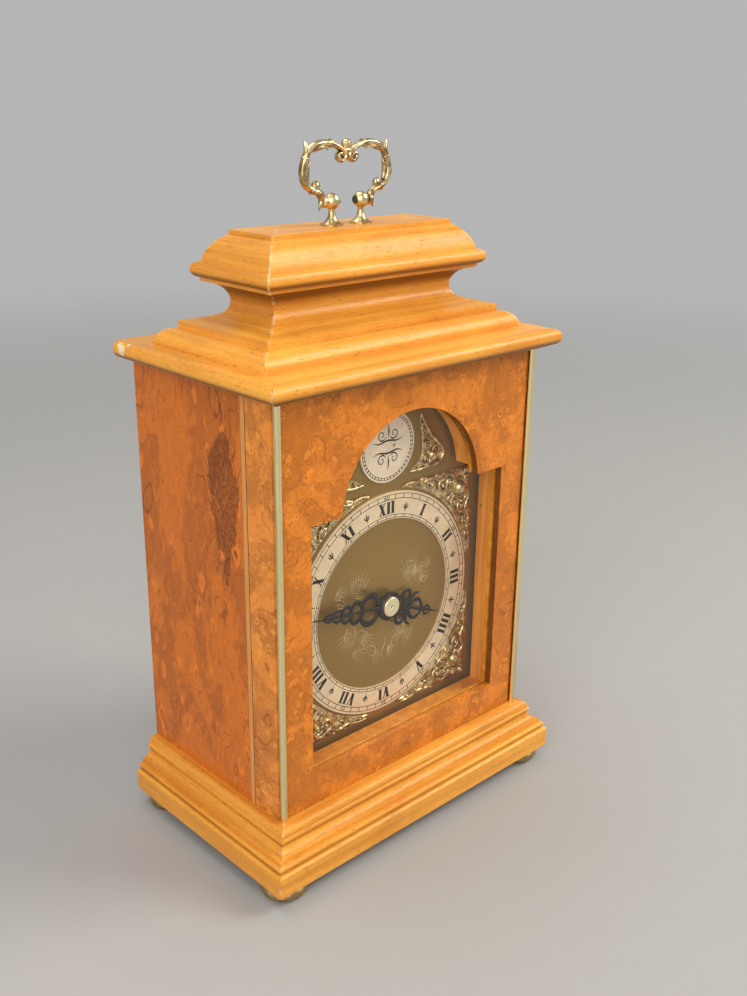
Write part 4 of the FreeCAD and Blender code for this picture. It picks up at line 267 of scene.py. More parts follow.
def piece(name, shells, material, body, stands_for=(), flat=False):
    """One object from shells in millimetres: doubles merged, faces outward, riding on a body."""
    starts = np.cumsum([0] + [len(points) for points, _ in shells[:-1]])
    points = np.concatenate([points for points, _ in shells]) * MM
    faces = np.concatenate([faces + start for (_, faces), start in zip(shells, starts)])
    mesh = bpy.data.meshes.new(name)
    mesh.from_pydata(points, [], faces.tolist())
    work = bmesh.new()
    work.from_mesh(mesh)
    bmesh.ops.remove_doubles(work, verts=work.verts, dist=1e-7)
    bmesh.ops.dissolve_degenerate(work, edges=work.edges, dist=1e-8)
    bmesh.ops.recalc_face_normals(work, faces=work.faces)
    work.to_mesh(mesh)
    work.free()
    if not flat:
        mesh.polygons.foreach_set("use_smooth", np.ones(len(mesh.polygons), bool))
    mesh.materials.append(material)
    thing = bpy.data.objects.new(name, mesh)
    bpy.context.scene.collection.objects.link(thing)
    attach(thing, body)
    if stands_for:
        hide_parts(*stands_for)
    return thing


# ------------------------------------------------------------------ materials
def shade(tone, share):
    """A colour made darker or lighter, no channel above 1."""
    return [min(1, share * channel) for channel in tone]


class Wire:
    """A node's result. Arithmetic on it adds one Math node for every step."""

    def __init__(self, paint, socket):
        self.paint, self.socket = paint, socket

    def toward(self, factor, tone):
        """This colour mixed towards another."""
        return self.paint.tint(factor, self, tone)


for sign, name in (("add", "ADD"), ("sub", "SUBTRACT"), ("mul", "MULTIPLY"), ("truediv", "DIVIDE"),
                   ("lt", "LESS_THAN"), ("gt", "GREATER_THAN"), ("abs", "ABSOLUTE")):
    setattr(Wire, "__%s__" % sign,
            lambda self, other=0, name=name: self.paint.math(name, self, other))


class Finish:
    """Nodes of one material, or of the world. Each method adds nodes and returns the result."""

    def __init__(self, name, kind="materials", shader="Principled BSDF"):
        self.owner = getattr(bpy.data, kind).new(name)
        self.owner.use_nodes = True
        self.tree = self.owner.node_tree
        self.shader = self.tree.nodes[shader]
        self.place = self.result("TexCoord", "Object")

    def node(self, kind, inputs=None, **settings):
        """A node with its settings made and its inputs fed with results or constants."""
        made = self.tree.nodes.new("ShaderNode" + kind)
        for key, value in settings.items():
            setattr(made, key, value)
        for key, value in (inputs or {}).items():
            self.feed(made.inputs[key], value)
        return made

    def result(self, kind, output, inputs=None, **settings):
        """One output of a new node."""
        return Wire(self, self.node(kind, inputs, **settings).outputs[output])

    def feed(self, socket, value):
        """Links a socket, or sets a constant on it."""
        if isinstance(value, Wire):
            self.tree.links.new(value.socket, socket)
        elif socket.type == "RGBA":
            socket.default_value = tuple(value)[:3] + (1,)
        else:
            socket.default_value = value

    def math(self, operation, first, second=0, clamp=False):
        """One arithmetic step."""
        return self.result("Math", 0, {0: first, 1: second}, operation=operation, use_clamp=clamp)

    def axes(self, place=None):
        """A place, or else the object's own, as x, y and z."""
        return [Wire(self, part) for part in self.node("SeparateXYZ", {0: place or self.place}).outputs]

    def join(self, x, y, z):
        """A vector from three numbers."""
        return self.result("CombineXYZ", 0, {0: x, 1: y, 2: z})

    def length(self, vector):
        """Length of a vector."""
        return self.result("VectorMath", "Value", {0: vector}, operation="LENGTH")

    def rim(self):
        """1 on faces that look sideways or down, and 0 on faces that look up or along y."""
        _, deep, rise = self.axes(self.result("TexCoord", "Normal"))
        return (abs(deep) < 0.5) * (rise < 0.5)

    def under(self, start, end):
        """From 0 on faces whose normal rises more than start to 1 where it drops below end."""
        return self.fade(self.axes(self.result("TexCoord", "Normal"))[2], end, start)

    def seen(self):
        """1 where the eye, a mirror or glass looks straight at the surface, and 0 for light."""
        path = self.node("LightPath").outputs
        eye, mirror, glass = (Wire(self, path["Is %s Ray" % way])
                              for way in ("Camera", "Glossy", "Transmission"))
        return self.math("ADD", eye + mirror, glass, True)

    def cover(self, factor, kind, output):
        """Shows the plain background colour in place of the shader, as far as the factor says."""
        glow = self.result(kind, 0, {"Color": BACKGROUND, "Strength": 1.0})
        both = self.result("MixShader", 0, {0: factor, 1: Wire(self, self.shader.outputs[0]), 2: glow})
        self.feed(self.tree.nodes[output].inputs["Surface"], both)

    def stretch(self, scale, place=None):
        """The place with each axis scaled."""
        return self.result("Mapping", 0, {"Vector": place or self.place, "Scale": scale})

    def noise(self, scale, detail=4, rough=0.55, bend=0, place=None):
        """Cloudy noise from 0 to 1, with one scale for all axes or one for each."""
        if isinstance(scale, tuple):
            place, scale = self.stretch(scale, place), 1.0
        inputs = {"Vector": place or self.place, "Scale": scale, "Detail": detail, "Roughness": rough,
                  "Distortion": bend}
        return self.result("TexNoise", "Fac", inputs)

    def band(self, value, low, high, start=0, end=1):
        """Smooth step between two values."""
        inputs = {"Value": value, "From Min": low, "From Max": high, "To Min": start, "To Max": end}
        return self.result("MapRange", 0, inputs, interpolation_type="SMOOTHSTEP")

    def fade(self, value, low, high):
        """Smooth step down from 1 to 0."""
        return self.band(value, low, high, 1, 0)

    def pick(self, factor, first, second):
        """Number between two others."""
        return self.result("Mix", 0, {0: factor, 2: first, 3: second}, data_type="FLOAT")

    def tint(self, factor, first, second):
        """Colour between two others."""
        return self.result("Mix", 2, {0: factor, 6: first, 7: second}, data_type="RGBA")

    def bump(self, height, distance, strength):
        """Surface relief from a height."""
        return self.result("Bump", 0, {"Height": height, "Distance": distance, "Strength": strength})

    def done(self, **inputs):
        """Feeds the shader and returns the material."""
        for key, value in inputs.items():
            self.feed(self.shader.inputs[key.replace("_", " ")], value)
        return self.owner

    def surface(self, body, metal, gloss, relief, **more):
        """The material from a colour, a share of metal, a roughness picked between two values and
        a relief of (height, distance, strength)."""
        return self.done(Base_Color=body, Metallic=metal, Roughness=self.pick(*gloss),
                         Normal=self.bump(*relief), **more)


def dress(material, *nodes):
    """Gives frame nodes a material."""
    for name in nodes:
        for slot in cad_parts[name].material_slots:
            slot.material = material


def grain_place(paint, front_edge, middle_y):
    """The grain's own place on a mitred frame, along, across and up, and the distance from the
    mitre. Boards at the sides run along Y and those at the front along X. The mitre is where
    |x| - |y - middle| equals the corner's own difference; with no middle it is at the front only."""
    x, y, z = paint.axes()
    side_x = abs(x)
    mitre = (side_x + y if middle_y is None else side_x - abs(y - middle_y)) - front_edge
    side = mitre > 0.0
    along, across = paint.pick(side, x, y), paint.pick(side, y, x)
    return paint.join(along, across + side * 0.37, z), mitre


# Share of the dark tone used for the painted shade on the mouldings' downward faces.
UNDERSIDE_SHADE = 0.20


def timber(name, tones, front_edge, middle_y, chips):
    """Waxed straight-grained timber with dark pores, cloudy bands, pale, worn mitres and painted shade on
    the faces that look down.
    """
    dark, light = tones
    paint = Finish(name)
    place, mitre = grain_place(paint, front_edge, middle_y)
    bands = paint.noise((6, 230, 230), 5, 0.6, 0.5, place)
    cloud = paint.noise((20, 45, 45), 3, 0.5, 0.8, place)
    pores = paint.band(paint.noise((320, 2900, 2900), 2, 0.6, 0, place), 0.60, 0.72)
    body = paint.tint(paint.band(bands * 0.65 + cloud * 0.35, 0.30, 0.66), dark, light)
    body = body.toward(pores * 0.55, shade(dark, 0.26))
    body = body.toward(paint.band(paint.noise(420, 2), 0.60, 0.78) * 0.18, shade(light, 1.25))
    # Painted shade: faces that look down are darkened towards the dark tone.
    body = body.toward(paint.under(-0.05, -0.7) * 0.85, shade(dark, UNDERSIDE_SHADE))
    near = abs(mitre)
    worn = paint.fade(near, 0.0002, 0.0011) * paint.band(paint.noise(230, 3), 0.42, 0.60)
    body = body.toward(worn * 0.75, (0.84, 0.60, 0.30))
    body = body.toward(paint.fade(near, 0.00006, 0.00018) * 0.35, shade(dark, 0.18))
    if chips:
        body = chipped(paint, body, chips, BARE_WOOD)
    depth = bpy.context.scene.clock_timber.pore_depth
    return paint.surface(body, 0, (paint.noise(90, 3), 0.24, 0.42), (bands * 0.25 - pores, depth, 0.8),
                         Coat_Weight=0.08, Coat_Roughness=0.12, Specular_IOR_Level=0.22)


def chipped(paint, body, spots, inside):
    """Small ragged spots of a given colour, such as bare pale timber, or painted shade where a hole
    is: each is (x, y, z) and a radius, in millimetres.
    """
    axes = paint.axes()
    ragged = (paint.noise(900, 3) - 0.5) * 0.0022
    for spot, radius in spots:
        apart = paint.length(paint.join(*(axis - at * MM for axis, at in zip(axes, spot))))
        body = body.toward(paint.fade(apart + ragged, radius * MM * 0.8, radius * MM), inside)
    return body


def burr(name, tones, scale, lines, upright=1, patch=None, edge=None):
    """Burr veneer: strongly bent noise read as contour lines, with small dark eyes, pale flares,
    where a patch is given, one dark ragged island and, where an edge colour is given, painted
    shade on the faces that look sideways or down."""
    dark, light = tones
    paint = Finish(name)
    place = paint.stretch((1, 1, upright))
    flow = paint.noise(scale * 0.55, 2, 0.4, 1.3, place)
    mixed = flow * 0.62 + paint.noise(scale * 1.6, 5, 0.62, 3.4, place) * 0.38
    rings = (paint.math("SINE", mixed * lines) + 1) * 0.5
    fine = paint.noise(scale * 9, 4, 0.65, 1)
    tone = paint.math("ADD", paint.band(mixed, 0.36, 0.64) * 0.44 + rings * 0.34, (fine - 0.35) * 0.7, True)
    strokes = paint.noise((520, 520, 150), 4, 0.6, 1.6)
    tone = paint.math("ADD", tone, (strokes - 0.5) * 0.6, True)
    body = paint.tint(tone, [0.58 * d + 0.42 * c for d, c in zip(dark, light)], light)
    vein = paint.fade(abs(paint.math("SINE", flow * lines)), 0.02, 0.26)
    body = body.toward(vein * paint.band(paint.noise(scale * 0.9, 2), 0.38, 0.58) * 0.55, dark)
    drift = paint.result("TexNoise", "Color", {"Vector": place, "Scale": scale * 2.2})
    bent = paint.result("VectorMath", 0, {0: drift, 1: (0.006,) * 3, 2: place}, operation="MULTIPLY_ADD")
    eyes = paint.result("TexVoronoi", "Distance", {"Vector": bent, "Scale": scale * 2.4})
    crowd = paint.band(paint.noise(scale * 0.8, 2, 0.5, 0.5), 0.44, 0.56)
    halo = paint.band(eyes, 0.10, 0.22) * paint.fade(eyes, 0.24, 0.36) * crowd
    body = body.toward(paint.fade(eyes, 0.04, 0.12) * crowd * 0.70, dark)
    body = body.toward(halo * 0.6, shade(light, 1.3))
    speck = paint.band(paint.noise(2400, 2, 0.6), 0.62, 0.74)
    body = body.toward(speck * 0.45, dark)
    if patch:
        body = island(paint, body, patch, dark)
    # Painted shade: faces that look sideways or down, such as the door frame's inner edges, take the edge
    # colour.
    if edge:
        body = body.toward(paint.rim() * 0.85, edge)
    return paint.surface(body, 0, (fine, 0.20, 0.36), (fine - speck, 0.00005, 0.5), Coat_Weight=0.12,
                         Coat_Roughness=0.08, Specular_IOR_Level=0.20)


def island(paint, body, patch, dark):
    """A dark island in the veneer at (y, z) with half sizes, on the left-hand side only."""
    middle_y, middle_z, half_y, half_z = (value * MM for value in patch)
    x, y, z = paint.axes()
    reach = abs((y - middle_y) / half_y) + abs((z - middle_z) / half_z)
    ragged = (paint.noise((1, 160, 70), 3, 0.6, 0.8) - 0.5) * 1.8
    inside = paint.fade(reach + ragged, 0.94, 1) * (x < 0)
    return body.toward(inside * paint.band(paint.noise(700, 3), 0.35, 0.65, 0.45, 0.80), dark)


def brass(name, aged, bright, clean, rough, spread=150):
    """Brass with dull cloudy tarnish over a brighter metal; clean sets how little there is."""
    paint = Finish(name)
    cloud = paint.noise(spread, 6, 0.62, 0.4)
    spots = paint.band(paint.noise(1400, 3), 0.60, 0.74)
    body = paint.tint(paint.band(cloud, 0.62 - clean, 0.92 - clean), aged, bright)
    body = body.toward(spots * (0.35 * (1 - clean)), shade(aged, 0.5))
    return paint.surface(body, 1, (cloud, rough + 0.12, rough), (paint.noise(1800, 3), 0.00001, 0.25))


def steel(name, base, rough):
    """Plain metal with fine streaks."""
    paint = Finish(name)
    line = paint.noise((60, 900, 900), 3, 0.5)
    return paint.surface(paint.tint(line, shade(base, 0.8), base), 1, (line, rough, rough + 0.12),
                         (line, 0.000004, 0.3))


PANE_INDEX = 1.22


def pane(name):
    """Clear thin glass: a mirror that shows only as much as the Fresnel share at each angle."""
    paint = Finish(name)
    behind = paint.result("NewGeometry", "Backfacing")
    share = paint.result("Fresnel", 0, {"IOR": paint.pick(behind, PANE_INDEX, 1 / PANE_INDEX)})
    dust = paint.band(paint.noise(260, 4), 0.55, 0.80) * 0.004
    return paint.done(Base_Color=(0.95, 0.97, 0.96), Metallic=1, Roughness=0.03,
                      Alpha=paint.math("ADD", share, dust, True))


def lacquer(name, base, rough):
    """Dark paint or ink with a fine uneven skin."""
    paint = Finish(name)
    skin = paint.noise(1300, 3)
    return paint.surface(paint.tint(skin, shade(base, 0.7), shade(base, 1.3)), 0,
                         (skin, rough, rough + 0.15), (skin, 0.00002, 0.4))


def silvering(name, base):
    """Silvered brass: pale, slightly mottled and softly grained."""
    paint = Finish(name)
    cloud = paint.noise(120, 5, 0.6, 0.8)
    body = paint.tint(paint.band(cloud, 0.35, 0.70), shade(base, 0.86), base)
    body = body.toward(paint.band(paint.noise(500, 3), 0.58, 0.75) * 0.25, (0.50, 0.36, 0.18))
    return paint.surface(body, 0.30, (cloud, 0.34, 0.46), (paint.noise(2600, 2), 0.000008, 0.4))


def matting(name, base):
    """Matt-gilt dial centre: fine even stipple, a little darker towards its rim."""
    paint = Finish(name)
    x, _, z = paint.axes()
    rise = z - float(CENTRE[1]) * MM
    grain = paint.noise(2600, 3, 0.7)
    body = paint.tint(grain, shade(base, 0.86), shade(base, 1.10))
    edge = paint.band(paint.math("SQRT", x * x + rise * rise), 0.020, 0.037)
    return paint.surface(body.toward(edge * 0.35, shade(base, 0.72)), 0.60,
                         (paint.noise(60, 3), 0.38, 0.48), (grain, 0.00001, 0.35))


# ------------------------------------------------------------------ operators
class ClockStep:
    """What every step shares."""
    bl_options = {"REGISTER", "UNDO"}

    def execute(self, context):
        """Builds the step and reports it as finished."""
        self.build(context.scene)
        return {"FINISHED"}


CAMERA_PLACE = (-0.296533, -0.326969, 0.298491)
CAMERA_TURN = (69.92, -0.644, -43.361)
# Each lamp's name, place, aim, size and colour.
LAMPS = (("key_lamp", (0.95, -0.75, 1.05), (0, -0.02, 0.14), 0.75, (1, 0.93, 0.82)),
         ("fill_lamp", (-1.05, -0.75, 0.75), (0, 0, 0.14), 1.3, (1, 0.95, 0.87)),
         ("top_lamp", (-0.15, 0.25, 1.35), (0, 0, 0.14), 1, (1, 0.98, 0.95)))
TOP_SHARE = 0.42
FLOOR_HALF = 60.0
FLOOR_FADE = (0.45, 1.5)
WORLD_LIGHT = 0.30
WORLD_TONE = (1, 0.99, 0.96)
BACKGROUND = (0.46, 0.465, 0.46)


def set_up(scene, name, data):
    """A new object of the stage, linked to the scene."""
    thing = bpy.data.objects.new(name, data)
    scene.collection.objects.link(thing)
    return thing


class CLOCK_OT_stage(ClockStep, Operator):
    """Floor, lamps, world and the camera at the photograph's place"""
    bl_idname = "clock.stage"
    bl_label = "Stage"

    def build(self, scene):
        """Makes the stage."""
        settings = scene.clock_stage
        scene.view_settings.view_transform = "Standard"
        self.camera(scene, settings)
        self.floor(scene, settings.floor)
        powers = settings.key_power, settings.fill_power, settings.fill_power * TOP_SHARE
        for lamp, power in zip(LAMPS, powers):
            self.lamp(scene, *lamp, power)
        world = Finish("world", "worlds", "Background")
        scene.world = world.done(Color=WORLD_TONE, Strength=WORLD_LIGHT)
        world.cover(world.seen(), "Background", "World Output")

    def camera(self, scene, settings):
        """The camera as found from the case's edges."""
        lens = bpy.data.cameras.new("camera")
        lens.sensor_width = 36.0
        lens.lens = settings.lens
        lens.clip_start = 0.01
        scene.camera = set_up(scene, "camera", lens)
        scene.camera.location = CAMERA_PLACE
        scene.camera.rotation_euler = [math.radians(a) for a in CAMERA_TURN]

    def floor(self, scene, base):
        """A plain, pale, matt floor that fades into the background colour far from the object."""
        mesh = bpy.data.meshes.new("floor")
        corners = [(u * FLOOR_HALF, v * FLOOR_HALF, 0) for u, v in ((-1, -1), (1, -1), (1, 1), (-1, 1))]
        mesh.from_pydata(corners, [], [(0, 1, 2, 3)])
        paint = Finish("floor_paint")
        mesh.materials.append(paint.done(
            Base_Color=paint.tint(paint.noise(90, 3), shade(base, 0.96), base), Roughness=0.6,
            Normal=paint.bump(paint.noise(40, 2), 0.0003, 0.3)))
        paint.cover(paint.band(paint.length(paint.place), *FLOOR_FADE) * paint.seen(), "Emission",
                    "Material Output")
        floor = set_up(scene, "floor", mesh)

    def lamp(self, scene, name, place, aim, size, tone, power):
        """A square soft lamp that points at the object."""
        light = bpy.data.lights.new(name, "AREA")
        light.size, light.energy, light.color = size, power, tone
        lamp = set_up(scene, name, light)
        way = np.array(aim) - np.array(place)
        lamp.location = place
        lamp.rotation_euler = (math.atan2(math.hypot(way[0], way[1]), -way[2]), 0,
                               math.atan2(way[1], way[0]) - math.pi / 2)


# How far |x| is from -y, or from |y - middle|, along the mitre of each set of mouldings.
BASE_CORNER = 0.0294
CADDY_CORNER = 0.03335
CADDY_MIDDLE = 0.0024
NO_CORNER = -1.0
CHIPS = [((-76.6, 45.6, 203.6), 2.3), ((-76.2, 47.6, 205.6), 1.5), ((-75.2, 42.4, 205.9), 0.9)]
BARE_WOOD = (0.86, 0.70, 0.45)


class CLOCK_OT_mouldings(ClockStep, Operator):
    """Honey-coloured mouldings of the base, cornice and caddy top"""
    bl_idname = "clock.mouldings"
    bl_label = "Mouldings"

    def build(self, scene):
        """Dresses the mouldings."""
        tones = scene.clock_timber.amber, scene.clock_timber.honey
        for name, corner, middle_y, chips, *nodes in (
                ("base_timber", BASE_CORNER, None, (), "plinth", "lower_base_moulding",
                 "upper_base_moulding"),
                ("cornice_timber", BASE_CORNER, None, CHIPS, "cornice_moulding"),
                ("caddy_timber", CADDY_CORNER, CADDY_MIDDLE, (), "caddy_base", "caddy_neck", "caddy_torus",
                 "caddy_dome", "caddy_cap"),
                ("bead_timber", NO_CORNER, None, (), "door_glass_bead")):
            dress(timber(name, tones, corner, middle_y, chips), *nodes)


# Spots on the dial surround: a dark spot of painted shade where a screw hole is, and pale glue at the mitre
# of the sill.
REVEAL_GLUE_AND_HOLE_SHADE = (([((55.1, -26.2, 127.1), 0.8)], (0.02, 0.010, 0.004)),
                ([((51, -32.6, 47.6), 1.9), ((49.2, -32.8, 48.6), 1.4), ((52.6, -32.4, 46.4), 1.3)],
                 (0.80, 0.62, 0.36)))
DARK_PATCH = (-9, 158, 10.5, 36)


class CLOCK_OT_case(ClockStep, Operator):
    """Burr veneers, stringing, plain carcase boards and the dial surround"""
    bl_idname = "clock.case"
    bl_label = "Case"

    def build(self, scene):
        """Dresses the case."""
        tones = scene.clock_timber
        side = tones.burr_dark, tones.burr_light
        door = tones.door_dark, tones.door_light
        dress(burr("side_veneer", side, 58, 38, 0.5, DARK_PATCH), "side_panels")
        dress(burr("stile_veneer", (door[0], (0.92, 0.32, 0.052)), 75, 26), "front_stiles")
        # The dark edge colour is painted shade on the door frame's sideways and downward faces.
        dress(burr("door_veneer", door, 90, 24, edge=(0.10, 0.030, 0.006)), "door_frame")
        dress(self.stringing(), "side_stringing")
        dress(self.board("carcase_board", (0.40, 0.20, 0.075), (0.60, 0.36, 0.17), 0.45),
              "bottom_board", "top_board", "seat_board")
        dress(self.board("rear_board", (0.36, 0.14, 0.035), (0.56, 0.26, 0.075), 0.36), "rear_door")
        dress(self.board("reveal_board", (0.66, 0.22, 0.022), (0.88, 0.36, 0.045), 0.30, REVEAL_GLUE_AND_HOLE_SHADE),
              "dial_surround")

    def stringing(self):
        """A pale stripe with a thin dark line at its front and a fainter one at its back."""
        paint = Finish("stringing_lines")
        low, high = limits("side_stringing")
        y = paint.axes()[1]
        front = paint.fade(y, float(low[1] + 0.35) * MM, float(low[1] + 0.50) * MM)
        back = paint.band(y, float(high[1] - 0.45) * MM, float(high[1] - 0.30) * MM, 0, 0.55)
        dark = paint.math("MAXIMUM", front, back)
        streak = paint.noise((900, 900, 60), 3, 0.5)
        light = paint.tint(streak, (0.58, 0.20, 0.035), (0.80, 0.36, 0.08))
        return paint.done(Base_Color=light.toward(dark, (0.075, 0.022, 0.008)), Roughness=0.32,
                          Normal=paint.bump(dark, 0.00003, 0.4), Coat_Weight=0.2, Coat_Roughness=0.1)

    def board(self, name, dark, light, rough, marks=()):
        """Plain board with its grain upright and small spots of (spots, colour) on it."""
        paint = Finish(name)
        bands = paint.noise((150, 150, 8), 5, 0.6, 0.8)
        pores = paint.band(paint.noise((2400, 2400, 110), 2, 0.6), 0.58, 0.72)
        body = paint.tint(paint.band(bands, 0.35, 0.65), dark, light).toward(pores * 0.5, shade(dark, 0.35))
        for spots, inside in marks:
            body = chipped(paint, body, spots, inside)
        return paint.surface(body, 0, (bands, rough, rough + 0.12), (bands - pores, 0.00006, 0.6))


class CLOCK_OT_brasswork(ClockStep, Operator):
    """Brass rods, feet, posts and hinges, and the clear pane"""
    bl_idname = "clock.brasswork"
    bl_label = "Brasswork"

    def build(self, scene):
        """Dresses the brasswork and the pane."""
        tones = scene.clock_brass
        aged, bright = tones.aged, tones.bright
        dress(brass("rod_brass", aged, tones.rod, 0.42, 0.16, (500, 500, 14)), "corner_rods")
        dress(brass("foot_brass", aged, bright, 0.16, 0.34), "bun_feet", "door_pivot_pins")
        dress(brass("post_brass", aged, bright, 0.30, 0.22), "handle_posts", "rear_latch",
              "rear_hinge_case_leaves", "rear_hinge_door_leaves")
        dress(steel("screw_steel", (0.14, 0.115, 0.085), 0.34), "handle_pivot_screws")
        dress(pane("door_pane"), "door_glass")


class CLOCK_OT_movement(ClockStep, Operator):
    """Polished brass and steel of the movement, and the finishes of the dial's own pieces"""
    bl_idname = "clock.movement"
    bl_label = "Movement and dial"

    def build(self, scene):
        """Dresses the movement and the dial."""
        tones = scene.clock_brass
        aged, bright = tones.aged, tones.bright
        dress(brass("plate_brass", aged, bright, 0.44, 0.22, (30, 400, 900)), "front_plate",
              "back_plate", "escapement_cocks", "mainspring_barrel")
        dress(brass("wheel_brass", aged, bright, 0.50, 0.18), "intermediate_wheel", "centre_wheel",
              "third_wheel", "fourth_wheel", "escape_wheel", "minute_wheel", "hour_wheel", "balance_wheel",
              "pillars", "set_knob")
        dress(steel("work_steel", (0.55, 0.56, 0.58), 0.20), "barrel_arbor", "winding_key", "click",
              "click_spring", "lever", "centre_arbor", "mainspring", "movement_fasteners")
        dress(steel("spring_blue", (0.05, 0.10, 0.34), 0.22), "hairspring")
        dress(matting("dial_gilt", scene.clock_dial.matt), "dial_plate")
        dress(silvering("ring_silver", scene.clock_dial.silver), "chapter_ring")
        dress(silvering("disc_silver", (1, 0.84, 0.62)), "arch_disc")
        dress(brass("nut_brass", (0.66, 0.52, 0.27), (0.98, 0.88, 0.58), 0.48, 0.34), "hand_nut")


# ------------------------------------------------------------------ dial markings
STROKES = {"I": [(0, 0, 1)], "V": [(-0.79, -0.02, 1), (0.82, 0.02, 0.38)],
           "X": [(-0.79, 0.79, 1), (0.79, -0.79, 0.38)]}
LETTER_WIDTH = {"I": 1.63, "V": 2.84, "X": 3.05}
SERIF_REACH, SERIF_POINT = 0.65, 0.5
NUMERALS = ("XII", "I", "II", "III", "IIII", "V", "VI", "VII", "VIII", "IX", "X", "XI")
SERIF_HEIGHT = 0.22
TRACK_INNER, TRACK_OUTER = 46.2, 48.2
TRACK_LINE = 0.26
TICK_WIDTH = 0.32
QUARTER_INNER, QUARTER_OUTER = 38.1, 39.3
QUARTERS = [7.5 * k for k in range(48)]
DIGIT_HEIGHT = 2.3
TEXT_SIZE_PER_HEIGHT = 1.35
INK_SINK = 0.02
LINE_DEPTH = 0.03
SCROLL_RISE = 0.01
DISC_MARGIN, DISC_BORDER, DISC_LINE, DISC_DASH = 0.9, 1.1, 0.2, 0.5


def radial_quads(quads, angle, centre=CENTRE):
    """Quads given as (across, radius), turned so that radius points along the clock angle."""
    a = math.radians(angle)
    u, v = quads[..., 0], quads[..., 1]
    return np.stack([centre[0] + u * math.cos(a) + v * math.sin(a),
                     centre[1] + v * math.cos(a) - u * math.sin(a)], axis=-1)


def bar(foot, head, width_foot, width_head):
    """One stroke from foot to head, each (across, radius), with a width at both."""
    return np.array([[foot[0] - width_foot / 2, foot[1]], [foot[0] + width_foot / 2, foot[1]],
                     [head[0] + width_head / 2, head[1]], [head[0] - width_head / 2, head[1]]])


def numeral(word, low, high, thick):
    """Quads of a Roman numeral: straight strokes between the two radii and thin serifs, with
    every width counted in thick strokes."""
    quads, cursor = [], -sum(LETTER_WIDTH[letter] for letter in word) / 2
    for letter in word:
        middle_u = cursor + LETTER_WIDTH[letter] / 2
        for head, foot, share in STROKES[letter]:
            top, base = thick * (middle_u + head), thick * (middle_u + foot)
            quads.append(bar((base, low), (top, high), share * thick, share * thick))
            for u, r in ((top, high - SERIF_HEIGHT), (base, low)):
                pointed = letter == "V" and r == low
                wide = thick * (SERIF_POINT if pointed else share + SERIF_REACH)
                quads.append(bar((u, r), (u, r + SERIF_HEIGHT), wide, wide))
        cursor += LETTER_WIDTH[letter]
    return np.array(quads)


def ticks(foot, head, width, angles, centre=CENTRE):
    """A straight mark between two radii at each clock angle."""
    return [radial_quads(bar((0, foot), (0, head), width, width)[None], angle, centre) for angle in angles]


class CLOCK_OT_markings(ClockStep, Operator):
    """Numerals, minute and quarter tracks, half-hour marks and minute numbers"""
    bl_idname = "clock.markings"
    bl_label = "Dial markings"

    def build(self, scene):
        """Makes the markings."""
        settings = scene.clock_dial
        ink = lacquer("dial_ink", settings.ink, 0.45)
        low, high = RING_FRONT - settings.ink_relief / MM, RING_FRONT + INK_SINK
        radii = settings.numeral_inner / MM, settings.numeral_outer / MM, settings.numeral_stroke / MM
        quads = [radial_quads(numeral(word, *radii), 30 * hour) for hour, word in enumerate(NUMERALS)]
        for name, shells in (("chapter_numerals", [prisms(np.concatenate(quads), low, high)]),
                             ("chapter_tracks", self.tracks(settings.ticks, low, high))):
            piece(name, shells, ink, "clock_case", flat=True)
        piece("half_hour_marks", self.half_hours(low), ink, "clock_case")
        self.minute_numbers(scene, ink, low, high)

    def tracks(self, divisions, low, high):
        """Circles and ticks of both tracks."""
        shells = [washer(CENTRE, r - TRACK_LINE / 2, r + TRACK_LINE / 2, low, high)
                  for r in (TRACK_INNER, TRACK_OUTER, QUARTER_INNER, QUARTER_OUTER)]
        marks = ticks(TRACK_INNER, TRACK_OUTER, TICK_WIDTH, [6 * m for m in range(divisions) if m % 5])
        marks += ticks(QUARTER_INNER, QUARTER_OUTER, TICK_WIDTH, QUARTERS)
        return shells + [prisms(np.concatenate(marks), low, high)]

    def half_hours(self, low):
        """A small fleur on a stem half-way between the numerals."""
        stem = tube([(0, 40.2, 0.14, 0.02), (0, 41.5, 0.20, 0.03), (0, 43, 0.42, 0.03),
                     (0, 44.6, 0.04, 0.02)], low, 6, 3)
        leaf = tube([(0.1, 41.7, 0.10, 0.02), (0.85, 42.2, 0.28, 0.03), (1.15, 43.1, 0.22, 0.03),
                     (0.75, 43.6, 0.04, 0.02)], low, 6, 4)
        cross = tube([(-0.9, 41.7, 0.04, 0.02), (0, 41.6, 0.18, 0.03), (0.9, 41.7, 0.04, 0.02)], low, 6, 3)
        return [spun(shell, 15 + 30 * hour, CENTRE) for hour in range(12)
                for shell in (stem, leaf, mirrored(leaf), cross)]

    def minute_numbers(self, scene, ink, low, high):
        """Plain figures 5 to 60 in the outer track, as thin solids."""
        middle_radius = (TRACK_INNER + TRACK_OUTER) / 2
        for five in range(12):
            text = bpy.data.curves.new("minute_figures", "FONT")
            text.body = str(5 * five or 60)
            text.size = DIGIT_HEIGHT * MM * TEXT_SIZE_PER_HEIGHT
            text.align_x, text.align_y = "CENTER", "CENTER"
            text.extrude = (high - low) / 2 * MM
            text.resolution_u = 2
            source = set_up(scene, "minute_figures", text)
            bpy.context.view_layer.update()
            mesh = bpy.data.meshes.new_from_object(source)
            bpy.data.objects.remove(source)
            points = np.zeros(len(mesh.vertices) * 3)
            mesh.vertices.foreach_get("co", points)
            points = points.reshape(-1, 3)
            flat = radial_quads(points[:, :2] / MM + np.array([0, middle_radius]), 30 * five) * MM
            depth = (low + high) / 2 * MM - points[:, 2]
            mesh.vertices.foreach_set("co", np.stack([flat[:, 0], depth, flat[:, 1]], axis=1).ravel())
            mesh.materials.clear()
            mesh.materials.append(ink)
            mesh.update()
            figures = set_up(scene, "minute_figures_%02d" % (5 * five or 60), mesh)
            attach(figures, "clock_case")


